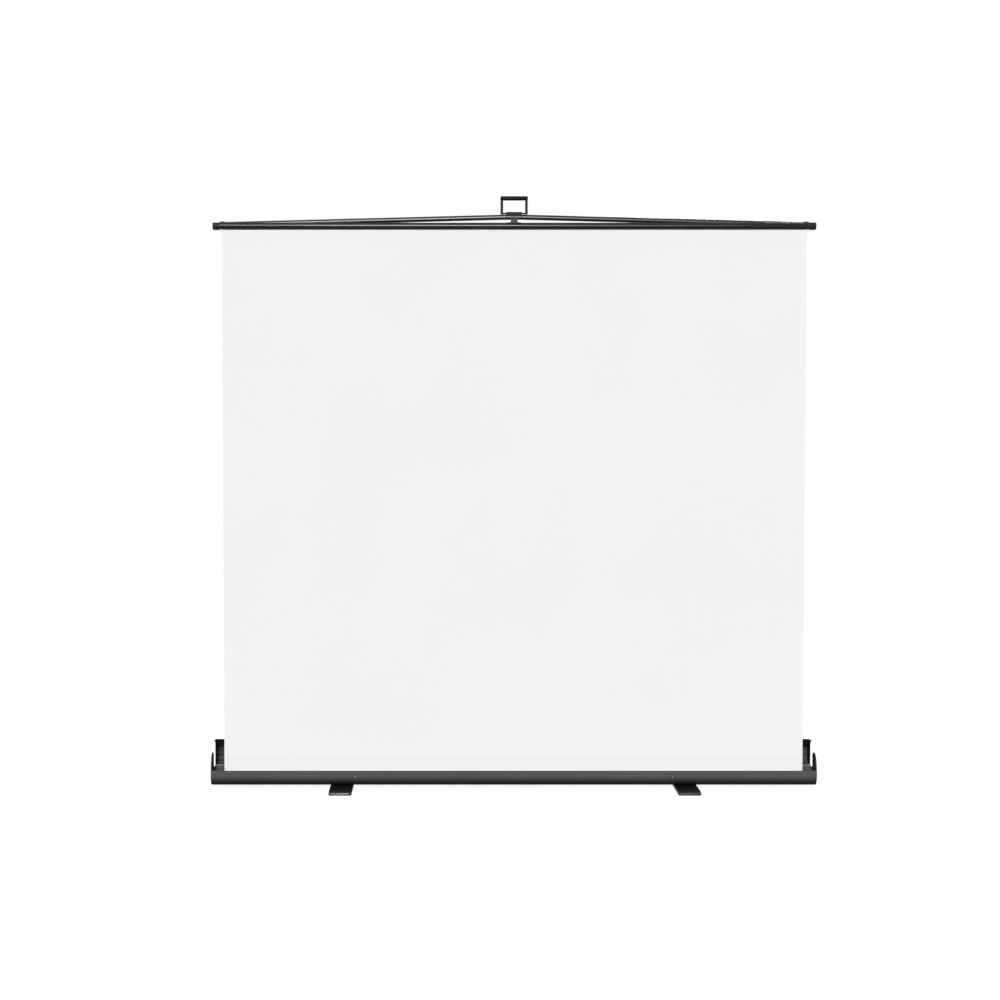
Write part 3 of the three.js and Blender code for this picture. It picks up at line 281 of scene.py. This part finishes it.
def worn(name, colour, bare, roughness, share=0.5):
    """Paint that is rubbed thin along an edge, so that the metal shows in short broken lengths."""
    made, shade, surface = finish(name, colour, roughness)
    patches = noise(shade, 160, 5.0)
    rubbed = shade.math("MULTIPLY", patches - (1 - share), 6.0, clamp=True)
    feed(shade, surface, "Base Color", shade.blend(rubbed, scaled(colour, 1.5), scaled(bare, 1.0)))
    feed(shade, surface, "Metallic", rubbed * 0.8)
    feed(shade, surface, "Roughness", rubbed * -0.1 + roughness)
    return made


def welded(node):
    """A copy of a CAD solid's mesh, with its loose triangles joined and its flat faces whole."""
    mesh = frame["nodes"][node].data.copy()
    mesh.materials.clear()
    shell = bmesh.new()
    shell.from_mesh(mesh)
    bmesh.ops.remove_doubles(shell, verts=shell.verts, dist=weld_distance)
    bmesh.ops.dissolve_limit(
        shell, angle_limit=math.radians(1), verts=shell.verts, edges=shell.edges
    )
    shell.to_mesh(mesh)
    shell.free()
    return mesh


def settled(source, name):
    """The plain mesh object that an object's modifiers give, in place of it."""
    bpy.context.view_layer.update()
    graph = bpy.context.evaluated_depsgraph_get()
    mesh = bpy.data.meshes.new_from_object(source.evaluated_get(graph), depsgraph=graph)
    mesh.name = name
    bpy.data.objects.remove(source)
    return placed(name, mesh)


def smoothed(mesh, sharp_degrees=40):
    """Shades a mesh smooth, apart from the edges that turn more sharply than this."""
    mesh.polygons.foreach_set("use_smooth", [True] * len(mesh.polygons))
    mesh.set_sharp_from_angle(angle=math.radians(sharp_degrees))


def softened(node, radius, finishes, segments=2):
    """A CAD solid with its edges rounded and its curves smooth, which then replaces the solid."""
    sharp_degrees = 36
    mesh = welded(node)
    for made in finishes:
        mesh.materials.append(made)
    smoothed(mesh, sharp_degrees)
    rough = placed(node + "_rough", mesh)
    edge = rough.modifiers.new("edges", "BEVEL")
    edge.width = radius
    edge.segments = segments
    edge.limit_method = "ANGLE"
    edge.angle_limit = math.radians(sharp_degrees)
    edge.material = len(finishes) - 1
    edge.use_clamp_overlap = True
    normals = rough.modifiers.new("normals", "WEIGHTED_NORMAL")
    normals.keep_sharp = False
    piece = settled(rough, node + "_finished")
    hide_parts(node)
    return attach(piece, frame["nodes"][node]["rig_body"])


shell_colour = (0.085, 0.085, 0.087)
shell_roughness, shell_sheen = 0.45, 0.03
# The trough's paint darkens towards its bottom between these heights: painted shade under the bulged
# front. The cheeks' fronts share it.
belly_shade_heights = (0.021, 0.041)
tub_paint = painted(
    "tub_paint", shell_colour, shell_roughness, specular=shell_sheen, painted_shade_between=belly_shade_heights,
)
softened("case_tub", 0.0005, [tub_paint])

# End caps: moulded black cheeks that close the trough and rise in a horn beside the lid.
# Each is held by three screws through its outer face, and its front is painted with the trough.
def moulded(name, colour, roughness, grain_scale=2200, grain=0.00003, specular=0.25):
    """Moulded plastic: an even spark-eroded grain and a faint sheen."""
    made, shade, surface = finish(name, colour, roughness, specular=specular)
    grains = noise(shade, grain_scale, 1.0)
    feed(shade, surface, "Base Color", shade.blend(grains, scaled(colour, 0.85), scaled(colour, 1.2)))
    feed(shade, surface, "Roughness", noise(shade, 14, 3.0) * 0.14 + (roughness - 0.07))
    bump(shade, surface, grains, grain)
    return made


def plate_finish(name, colour, roughness, brushed=(1, 1, 1)):
    """Plated steel: bright, with faint drawing lines and dull cloudy patches."""
    made, shade, surface = finish(name, colour, roughness, metallic=1.0)
    lines = noise(shade, 500, 3.0, stretch=brushed)
    cloud = noise(shade, 30, 4.0)
    feed(shade, surface, "Base Color", shade.blend(cloud, scaled(colour, 0.82), scaled(colour, 1.08)))
    feed(shade, surface, "Roughness", lines * 0.2 + (roughness - 0.1))
    bump(shade, surface, lines, 0.00001)
    return made


cap_colour = (0.011, 0.011, 0.0115)
cap_plastic = moulded("cap_plastic", cap_colour, 0.5)
screw_steel = plate_finish("screw_steel", (0.16, 0.16, 0.165), 0.32)


def button_head(sides=24):
    """A unit screw head on +Z: domed, with a six-sided socket."""
    rings = [(1.0, 0.0), (1.0, 0.12), (0.86, 0.38), (0.6, 0.52), (0.46, 0.54)]
    socket_reach, socket_top, socket_floor = 0.36, 0.52, 0.18
    verts = []
    for radius, height in rings:
        verts += [
            (radius * math.cos(turn), radius * math.sin(turn), height)
            for turn in (2 * math.pi * step / sides for step in range(sides))
        ]
    for height in (socket_top, socket_floor):
        for step in range(sides):
            turn = 2 * math.pi * step / sides
            flat = (turn % (math.pi / 3)) - math.pi / 6
            radius = socket_reach * math.cos(math.pi / 6) / math.cos(flat)
            verts.append((radius * math.cos(turn), radius * math.sin(turn), height))
    count = len(rings) + 2
    faces = [
        (
            ring * sides + step, ring * sides + (step + 1) % sides,
            (ring + 1) * sides + (step + 1) % sides, (ring + 1) * sides + step,
        )
        for ring in range(count - 1) for step in range(sides)
    ]
    faces.append(tuple(range((count - 1) * sides, count * sides)))
    faces.append(tuple(reversed(range(sides))))
    mesh = shaped("button_head", verts, faces)
    smoothed(mesh)
    return bpy.data.objects.new("button_head", mesh)


def new_tree(name, inputs):
    """An empty Geometry Nodes tree with a geometry output and the named inputs."""
    tree = bpy.data.node_groups.new(name, "GeometryNodeTree")
    tree.interface.new_socket("Geometry", in_out="OUTPUT", socket_type="NodeSocketGeometry")
    sockets = {}
    for label, kind in inputs.items():
        made = tree.interface.new_socket(label, in_out="INPUT", socket_type="NodeSocket" + kind)
        sockets[label] = made.identifier
    tree["sockets"] = sockets
    source = tree.nodes.new("NodeGroupInput")
    given = {label: Shade(tree, source.outputs[label]) for label in inputs}
    return tree, Shade(tree), given


def close_tree(shade, geometry, material):
    """Ends a tree as the export needs it: real geometry with its material."""
    real = shade.make("GeometryNodeRealizeInstances", sockets={0: geometry})
    painted_over = shade.make("GeometryNodeSetMaterial", sockets={0: real, "Material": material})
    output = shade.tree.nodes.new("NodeGroupOutput")
    shade.tree.links.new(painted_over.socket, output.inputs[0])


def grown(name, tree, values, points, linked=False):
    """The mesh that a tree makes from values and points, which can be linked in a line."""
    seed = bpy.data.meshes.new(name + "_seed")
    links = [(step, step + 1) for step in range(len(points) - 1)] if linked else []
    seed.from_pydata([tuple(point) for point in points], links, [])
    holder = placed(name + "_seed", seed)
    modifier = holder.modifiers.new("grow", "NODES")
    modifier.node_group = tree
    for label, value in values.items():
        modifier[tree["sockets"][label]] = value
    return settled(holder, name)


# Fasteners of one kind: a head at each point, facing one way
fastener_tree, fasteners, given = new_tree("fasteners", {
    "Points": "Geometry", "Head": "Object", "Facing": "Vector", "Radius": "Float",
    "Finish": "Material",
})
head_mesh = fasteners.make(
    "GeometryNodeObjectInfo", sockets={"Object": given["Head"]}, output="Geometry"
)
facing = fasteners.make(
    "FunctionNodeAlignRotationToVector", {"axis": "Z"}, {"Vector": given["Facing"]}
)
cloud_of_points = fasteners.make("GeometryNodeMeshToPoints", sockets={"Mesh": given["Points"]})
heads = fasteners.make("GeometryNodeInstanceOnPoints", sockets={
    "Points": cloud_of_points, "Instance": head_mesh, "Rotation": facing, "Scale": given["Radius"],
})
close_tree(fasteners, heads, given["Finish"])
head = button_head()


def fasten(name, body, points, way, radius, material):
    """Screws with their heads at these points, turned to face one way, on a body."""
    values = {"Head": head, "Facing": way, "Radius": radius, "Finish": material}
    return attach(grown(name, fastener_tree, values, points), body)


def repainted(piece, paint, chosen):
    """Gives the faces that chosen picks a paint of their own."""
    piece.data.materials.append(paint)
    for face in piece.data.polygons:
        if chosen(face):
            face.material_index = len(piece.data.materials) - 1


def corners(node):
    """The low and high corners of a CAD solid at rest, to a hundredth of a millimetre."""
    places = [place.co for place in frame["nodes"][node].data.vertices]
    low, high = ([pick(place[axis] for place in places) for axis in range(3)] for pick in (min, max))
    return [round(reach, 5) for reach in low], [round(reach, 5) for reach in high]


def centre(node):
    return [(first + last) / 2 for first, last in zip(*corners(node))]


cap_face_x = corners("end_cap_right")[1][0]
cap_screws = [(-0.030, 0.046), (0.026, 0.046), (-0.002, 0.027)]
cap_screw_sink = 0.0012
cap_screw_radius = 0.0032
parting_z = 0.063
for side, word in ((-1, "left"), (1, "right")):
    cheek = softened(f"end_cap_{word}", 0.0006, [cap_plastic], segments=3)
    repainted(cheek, tub_paint, lambda face: face.normal.y < -0.3 and face.center.z < parting_z)
    points = [(side * (cap_face_x - cap_screw_sink), y, z) for y, z in cap_screws]
    fasten(f"cap_screws_{word}", "case", points, (side, 0, 0), cap_screw_radius, screw_steel)

# Lid: the same painted shell, hinged behind and thrown open to the rear. Its front edge is a
# folded lip, a notch in its middle clears the scissor, and plastic walls close its ends.
lid_inside_y, lip_rear_y, lip_low_z, shoulder_low_z = 0.09, 0.085, 0.144, 0.128
# The lining inside the lid is painted lighter by the lip and darker towards the hinge: painted light and
# shade.
lining_colour = (1, 1, 1.02)
lining_low_z, lining_top_z = 0.112, 0.135
lining_shaded_share, lining_lit_share = 0.045, 0.4
shell_paint = painted("satin_shell", shell_colour, shell_roughness, specular=shell_sheen)
shell_edge = worn("shell_edge", shell_colour, (0.16, 0.16, 0.165), 0.4, 0.3)
shoulder_paint = painted("lid_shoulder", shell_colour, 0.28, specular=0.7)
# The folded lip is painted near black and matt: painted shade, for the shade on and under the lip.
lid_lip_painted_shade = moulded("lid_lip_painted_shade", (0.003, 0.003, 0.0032), 0.8, specular=0.02)


def lid_lining():
    """Grey primer inside the lid, with painted light and shade: lighter by the lip, where the lip's
    shadow falls, and darker towards the hinge.
    """
    made, shade, surface = finish("lid_lining", (0.1, 0.1, 0.1), 0.6, specular=0.1)
    # The darker tone is painted shade and the lighter tone is painted light.
    thin, lip_lit_tone = (scaled(lining_colour, share) for share in (lining_shaded_share, lining_lit_share))
    tone = shade.blend(rising(shade, lining_low_z, lining_top_z), thin, lip_lit_tone)
    feed(shade, surface, "Base Color", tone)
    bump(shade, surface, noise(shade, 900, 3.0), 0.00002)
    return made


def on_inside(face):
    return face.center.y > lid_inside_y and face.normal.y < -0.5


def on_shoulder(face):
    return face.center.z > shoulder_low_z and face.normal.z > 0.3


def on_lip(face):
    return face.center.z > lip_low_z and face.center.y < lip_rear_y


lid_shell = softened("case_lid", 0.0005, [shell_paint, shell_edge])
repainted(lid_shell, lid_lining(), on_inside)
repainted(lid_shell, shoulder_paint, on_shoulder)
repainted(lid_shell, lid_lip_painted_shade, on_lip)
for word in ("left", "right"):
    softened(f"lid_end_wall_{word}", 0.0008, [cap_plastic], segments=3)

# Hinges: plated leaves on the lid and painted knuckles on the trough. A plated strap on the
# lid's back carries each leaf's load, held by four screws.
leaf_steel = plate_finish("leaf_steel", (0.62, 0.62, 0.63), 0.34, brushed=(0.1, 1, 1))
hinge_paint = painted("hinge_paint", (0.018, 0.018, 0.0185), 0.45, specular=0.3)
strap_x, strap_sink = 0.1, 0.0004
strap_back_y = corners("case_lid")[1][1] - strap_sink
strap_half_width, strap_low_z, strap_high_z = 0.031, 0.067, 0.097
strap_thickness, strap_corner, strap_corner_steps = 0.0014, 0.004, 4
strap_screw_inset, strap_screw_radius = 0.007, 0.0026
strap_steel = plate_finish("strap_steel", (0.8, 0.8, 0.81), 0.4, brushed=(0.1, 1, 1))


def strap(name, middle_x):
    """A flat plate with round corners on the lid's back panel."""
    mid_z = (strap_low_z + strap_high_z) / 2
    half_width = strap_half_width - strap_corner
    half_height = (strap_high_z - strap_low_z) / 2 - strap_corner
    outline = []
    for quarter, (across, up) in enumerate(((1, 1), (-1, 1), (-1, -1), (1, -1))):
        for step in range(strap_corner_steps + 1):
            turn = math.pi / 2 * (quarter + step / strap_corner_steps)
            x = middle_x + across * half_width + strap_corner * math.cos(turn)
            z = mid_z + up * half_height + strap_corner * math.sin(turn)
            outline.append((x, z))
    count = len(outline)
    verts = [(x, y, z) for y in (strap_back_y, strap_back_y + strap_thickness) for x, z in outline]
    nexts = [(step + 1) % count for step in range(count)]
    faces = [(step, count + step, count + after, after) for step, after in enumerate(nexts)]
    faces += [tuple(range(count)), tuple(reversed(range(count, 2 * count)))]
    piece = placed(name, shaped(name, verts, faces, [strap_steel]))
    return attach(piece, "lid")


for side, word in ((-1, "left"), (1, "right")):
    strap(f"lid_strap_{word}", side * strap_x)
    reach = strap_half_width - strap_screw_inset
    rows = (strap_low_z + strap_screw_inset, strap_high_z - strap_screw_inset)
    points = [
        (side * strap_x + across * reach, strap_back_y + strap_thickness, z)
        for across in (-1, 1) for z in rows
    ]
    fasten(f"strap_screws_{word}", "lid", points, (0, 1, 0), strap_screw_radius, screw_steel)
for word in ("left", "right"):
    softened(f"lid_hinge_leaf_{word}", 0.0004, [leaf_steel])
    softened(f"case_hinge_leaf_{word}", 0.0003, [hinge_paint])

# Feet: flat painted bars that swivel on a bolt under the trough, each with a moulded shoe on
# both ends.
shoe_plastic = moulded("shoe_plastic", (0.01, 0.01, 0.0105), 0.2, specular=0.3)
foot_paint = painted("foot_paint", (0.007, 0.007, 0.0075), 0.34, specular=0.08)
for word in ("left", "right"):
    softened(f"foot_bar_{word}", 0.0014, [foot_paint], segments=3)
    softened(f"foot_bolt_{word}", 0.0005, [screw_steel])
    for end in ("front", "rear"):
        softened(f"foot_shoe_{word}_{end}", 0.0008, [shoe_plastic])

# Latch buttons: dark moulded buttons with a small plated cap in the middle, pushed in to let
# the lid go.
def inlay(name, place, half_straight, radius, depth, material, steps=10):
    """A flat oval plate that faces the front, with the middle of its back face at place."""
    x, y, z = place
    turns = [math.pi * (step / steps - 0.5) for step in range(steps + 1)]
    half = [(half_straight + radius * math.cos(turn), radius * math.sin(turn)) for turn in turns]
    ring = half + [(-across, -up) for across, up in half]
    verts = [(x + across, back, z + up) for back in (y, y - depth) for across, up in ring]
    count = len(ring)
    nexts = [(step + 1) % count for step in range(count)]
    faces = [(step, after, count + after, count + step) for step, after in enumerate(nexts)]
    faces += [tuple(range(count, 2 * count)), tuple(reversed(range(count)))]
    return placed(name, shaped(name, verts, faces, [material]))


latch_plastic = moulded("latch_plastic", (0.02, 0.02, 0.0205), 0.35)
latch_steel = plate_finish("latch_steel", (0.2, 0.2, 0.203), 0.3)
latch_front_y = corners("latch_button_right")[0][1]
inlay_straight, inlay_radius, inlay_depth = 0.0021, 0.0024, 0.0004
for word in ("left", "right"):
    softened(f"latch_button_{word}", 0.0006, [latch_plastic], segments=3)
    x, _, z = centre(f"latch_button_{word}")
    place = (x, latch_front_y, z)
    cap = inlay(f"latch_cap_{word}", place, inlay_straight, inlay_radius, inlay_depth, latch_steel)
    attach(cap, f"latch_{word}")

# Roller: a drawn steel tube on plastic plugs, between two painted brackets, with the winding
# spring on its rod in the right half.
roller_steel = plate_finish("roller_steel", (0.5, 0.5, 0.51), 0.3, brushed=(0.02, 1, 1))
spring_steel = plate_finish("spring_steel", (0.35, 0.34, 0.33), 0.35)
for node, radius, made in (
    ("roller_tube", 0.0003, roller_steel), ("roller_plug_left", 0.0004, cap_plastic),
    ("roller_plug_right", 0.0004, cap_plastic), ("roller_bracket_left", 0.0005, hinge_paint),
    ("roller_bracket_right", 0.0005, hinge_paint), ("spring_rod", 0.0003, roller_steel),
    ("torsion_spring", 0.0002, spring_steel),
):
    softened(node, radius, [made])

# Fabric on the roller: the last turns of the cloth, wound in a loose spiral whose layers show
# at both ends. White faces out on the front run.
cloth_low, cloth_high = corners("fabric_sheet")
cloth_width = cloth_high[0] - cloth_low[0]
cloth_half_thickness = 0.0002
roller_centre = centre("roller_tube")[1:]
roll_inner = 0.0133
roll_outer = 0.0149
roll_turns = 3
steps_in_turn = 40
# Below these heights the cloth is painted darker: painted shade near the trough.
cloth_shade_low_z, cloth_shade_top_z, cloth_shade_share = 0.045, 0.12, 0.88


def cloth_finish(name, colour, roughness, thread=0.0007, specular=0.25):
    """Coated cloth: a plain weave under a matt coat, painted darker low down near the trough as painted
    shade.
    """
    made, shade, surface = finish(name, colour, roughness, specular=specular)
    turns = 2 * math.pi / thread
    warp, weft = (shade.math("SINE", along(shade, axis) * turns) for axis in "XZ")
    weave = warp * weft
    tone = shade.blend(noise(shade, 2.2, 3.0), scaled(colour, 0.985), scaled(colour, 1.01))
    tone = shade.blend(rising(shade, cloth_shade_low_z, cloth_shade_top_z), scaled(colour, cloth_shade_share), tone)
    feed(shade, surface, "Base Color", tone)
    bump(shade, surface, weave + noise(shade, 700, 2.0), 0.00003, 0.5)
    return made


white_coat = cloth_finish("white_coat", (0.88, 0.88, 0.88), 0.85, specular=0.03)
black_back = cloth_finish("black_back", (0.007, 0.007, 0.0073), 0.9, specular=0.04)


def wound_cloth():
    """The spiral strip: outer and inner skins, and the edges between them."""
    count = roll_turns * steps_in_turn + 1
    verts = []
    for x in (-cloth_width / 2, cloth_width / 2):
        for skin in (1, -1):
            for step in range(count):
                share = step / (count - 1)
                turn = 2 * math.pi * roll_turns * share
                radius = roll_inner + (roll_outer - roll_inner) * share
                radius -= cloth_half_thickness * (1 - skin)
                y = roller_centre[0] + radius * math.cos(turn)
                z = roller_centre[1] + radius * math.sin(turn)
                verts.append((x, y, z))
    outer_left, inner_left, outer_right, inner_right = (index * count for index in range(4))
    faces = []
    kinds = []
    for step in range(count - 1):
        after = step + 1
        faces.append((outer_left + step, outer_right + step, outer_right + after, outer_left + after))
        faces.append((inner_left + step, inner_left + after, inner_right + after, inner_right + step))
        faces.append((outer_left + step, outer_left + after, inner_left + after, inner_left + step))
        faces.append((outer_right + step, inner_right + step, inner_right + after, outer_right + after))
        kinds += [0, 1, 0, 0]
    for step in (0, count - 1):
        ends = (outer_left + step, inner_left + step, inner_right + step, outer_right + step)
        faces.append(ends if step == 0 else tuple(reversed(ends)))
        kinds.append(0)
    mesh = shaped("wound_cloth", verts, faces, [white_coat, black_back], kinds)
    smoothed(mesh)
    return placed("wound_cloth", mesh)


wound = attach(wound_cloth(), "roller")
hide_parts("fabric_roll")

# Screen: one sheet of coated cloth, matt white in front and black behind, pulled up from the
# roller and gripped by the lower tube of the crossbar. It hangs with very slight ripples.
cloth_y = centre("fabric_sheet")[1]
foot_tuck, top_tuck = 0.005, 0.0008
cloth_foot_z = cloth_low[2] - foot_tuck
cloth_top_z = cloth_high[2] + top_tuck
cloth_columns = 96
cloth_rows = 90
ripple = 0.0006


def drawn_cloth():
    """A grid with two skins. The ripples die out at the tube and at the roller."""
    across, up = cloth_columns + 1, cloth_rows + 1
    verts = []
    for skin in (-1, 1):
        for row in range(up):
            rise = row / cloth_rows
            for column in range(across):
                run = column / cloth_columns
                x = (run - 0.5) * cloth_width
                broad = math.sin(5.2 * math.pi * run + 1.9 * rise)
                fine = 0.6 * math.sin(11 * math.pi * run - 3 * rise)
                curl = 0.8 * (2 * run - 1) ** 8
                y = cloth_y + ripple * (broad + fine + curl) * math.sin(math.pi * rise)
                z = cloth_foot_z + (cloth_top_z - cloth_foot_z) * rise
                verts.append((x, y + skin * cloth_half_thickness, z))
    faces, kinds = [], []
    back = across * up

    def at(column, row):
        return row * across + column

    for row in range(cloth_rows):
        for column in range(cloth_columns):
            quad = (at(column, row), at(column + 1, row), at(column + 1, row + 1), at(column, row + 1))
            faces += [quad, tuple(back + corner for corner in reversed(quad))]
            kinds += [0, 1]
    rim = [at(column, 0) for column in range(across)]
    rim += [at(cloth_columns, row) for row in range(1, up)]
    rim += [at(column, cloth_rows) for column in range(cloth_columns - 1, -1, -1)]
    rim += [at(0, row) for row in range(cloth_rows - 1, 0, -1)]
    for here, there in zip(rim, rim[1:] + rim[:1]):
        faces.append((there, here, here + back, there + back))
        kinds.append(1)
    mesh = shaped("screen_cloth", verts, faces, [white_coat, black_back], kinds)
    smoothed(mesh)
    return placed("screen_cloth", mesh)


screen_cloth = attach(drawn_cloth(), "case")
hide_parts("fabric_sheet")
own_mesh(screen_cloth)

# Crossbar: a straight drawn tube that holds the cloth, trussed by a thinner bent tube behind
# it. Both are aluminium with a glossy black finish, and end in moulded blocks.
tube_sides = 40
tube_tree, tubes, given = new_tree("drawn_tubes", {
    "Points": "Geometry", "Radius": "Float", "Finish": "Material",
})
line = tubes.make("GeometryNodeMeshToCurve", sockets={"Mesh": given["Points"]})
rim_circle = tubes.make("GeometryNodeCurvePrimitiveCircle", sockets={
    "Resolution": tube_sides, "Radius": given["Radius"],
})
drawn = tubes.make("GeometryNodeCurveToMesh", sockets={
    "Curve": line, "Profile Curve": rim_circle, "Fill Caps": True,
})
close_tree(tubes, drawn, given["Finish"])


def drawn_tube(name, points, radius, material):
    """A round tube along a line of points, with smooth sides and flat ends."""
    values = {"Radius": radius, "Finish": material}
    piece = grown(name, tube_tree, values, points, linked=True)
    smoothed(piece.data)
    return piece


fine_grain = {"grain_scale": 1500, "grain": 0.000002}
tube_black = painted("tube_black", (0.008, 0.008, 0.0085), 0.2, specular=0.14, **fine_grain)
bow_black = painted("bow_black", (0.012, 0.012, 0.0125), 0.22, specular=0.22, **fine_grain)
tube_half, tube_radius = corners("lower_tube")[1][0], 0.0114
bow_half, bow_radius = 1.003, 0.009
crossbar_z = centre("lower_tube")[2]
bow_y = centre("bowed_tube")[1]
bow_end_z = crossbar_z + 0.007
bow_height = 0.0255
bow_bend_half = 0.04
bow_bend_steps = 12


def bow_line():
    """Two straight halves and the short bend between them."""
    slope = bow_height / (bow_half - bow_bend_half / 2)
    xs = [bow_bend_half * (2 * step / bow_bend_steps - 1) for step in range(bow_bend_steps + 1)]
    points = [(-bow_half, bow_y, bow_end_z)]
    points += [(x, bow_y, bow_end_z + bow_height - slope * x * x / (2 * bow_bend_half)) for x in xs]
    return points + [(bow_half, bow_y, bow_end_z)]


straight_line = [(side * tube_half, cloth_y, crossbar_z) for side in (-1, 1)]
for name, node, points, radius, black in (
    ("straight_tube", "lower_tube", straight_line, tube_radius, tube_black),
    ("bow", "bowed_tube", bow_line(), bow_radius, bow_black),
):
    piece = drawn_tube(name, points, radius, black)
    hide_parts(node)
    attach(piece, "crossbar")
clip_plastic = moulded("clip_plastic", (0.75, 0.75, 0.75), 0.5)
block_plastic = moulded("block_plastic", (0.009, 0.009, 0.0095), 0.4, specular=0.06)
boss_top_z = bow_end_z + 0.0096
for word in ("left", "right"):
    block = softened(f"end_block_{word}", 0.0016, [block_plastic], segments=3)
    for corner in block.data.vertices:
        corner.co.z = min(corner.co.z, boss_top_z)
    softened(f"fabric_clip_{word}", 0.0006, [clip_plastic])

# Brackets and centre post: pressed steel, painted black. The apex bracket hooks over the lower
# tube and carries two pins, the base bracket is fixed in the trough, and the post holds the bow up.
bare_steel = (0.42, 0.42, 0.43)
steel_colour = (0.013, 0.013, 0.0135)
steel_paint = painted("steel_paint", steel_colour, 0.4, specular=0.06)
steel_edge = worn("steel_edge", steel_colour, bare_steel, 0.38, 0.45)
for node in ("apex_bracket", "centre_post", "base_bracket"):
    softened(node, 0.0005, [steel_paint, steel_edge])

# Pull handle: a bail with two flat legs and a round moulded grip, hinged in a block on top of
# the bow.
handle_paint = painted("handle_paint", (0.014, 0.014, 0.0145), 0.4, specular=0.02)


def grip_plastic(ring_spacing=0.004):
    """Soft moulded grip with shallow rings round it."""
    made, shade, surface = finish("grip_plastic", (0.008, 0.008, 0.0085), 0.6, specular=0.05)
    rings = shade.math("SINE", along(shade, "X") * (2 * math.pi / ring_spacing))
    feed(shade, surface, "Roughness", noise(shade, 60, 3.0) * 0.15 + 0.5)
    bump(shade, surface, rings, 0.00025, 0.7)
    return made


softened("pull_handle", 0.0009, [handle_paint], segments=3)
softened("handle_grip", 0.0008, [grip_plastic()], segments=3)
softened("handle_bracket", 0.0014, [handle_paint], segments=3)

# Scissor: flat steel bars, painted black and rubbed bright along their edges, with toothed
# hubs that keep both sides level.
arm_colour = (0.05, 0.05, 0.051)
arm_paint = painted("arm_paint", arm_colour, 0.32, specular=0.6)
arm_edge = worn("arm_edge", arm_colour, bare_steel, 0.3, 0.5)
for node in (
    "lower_arm_left", "lower_arm_right", "upper_arm_left", "upper_arm_right",
    "cross_bar_front", "cross_bar_rear",
):
    softened(node, 0.0006, [arm_paint, arm_edge])

# Pins: plated steel rivets that hold the bars to the brackets and to one another. Their heads
# are pressed on, and the bars turn on their shanks.
pin_steel = plate_finish("pin_steel", (0.5, 0.5, 0.51), 0.3)
for node in (
    "base_pin_left", "base_pin_right", "apex_pin_left", "apex_pin_right", "centre_pin",
    "lower_elbow_pin_right", "lower_elbow_pin_left", "upper_elbow_pin_left", "upper_elbow_pin_right",
):
    softened(node, 0.0005, [pin_steel], segments=3)

# Gas struts: a black painted steel cylinder over a polished rod, one on each side of the
# scissor, from the base bracket to a crossed bar.
rod_chrome = plate_finish("rod_chrome", (0.72, 0.72, 0.73), 0.16)
strut_paint = painted("strut_paint", (0.014, 0.014, 0.0145), 0.3)
for word in ("left", "right"):
    softened(f"strut_rod_{word}", 0.0004, [rod_chrome])
    softened(f"strut_cylinder_{word}", 0.0005, [strut_paint])
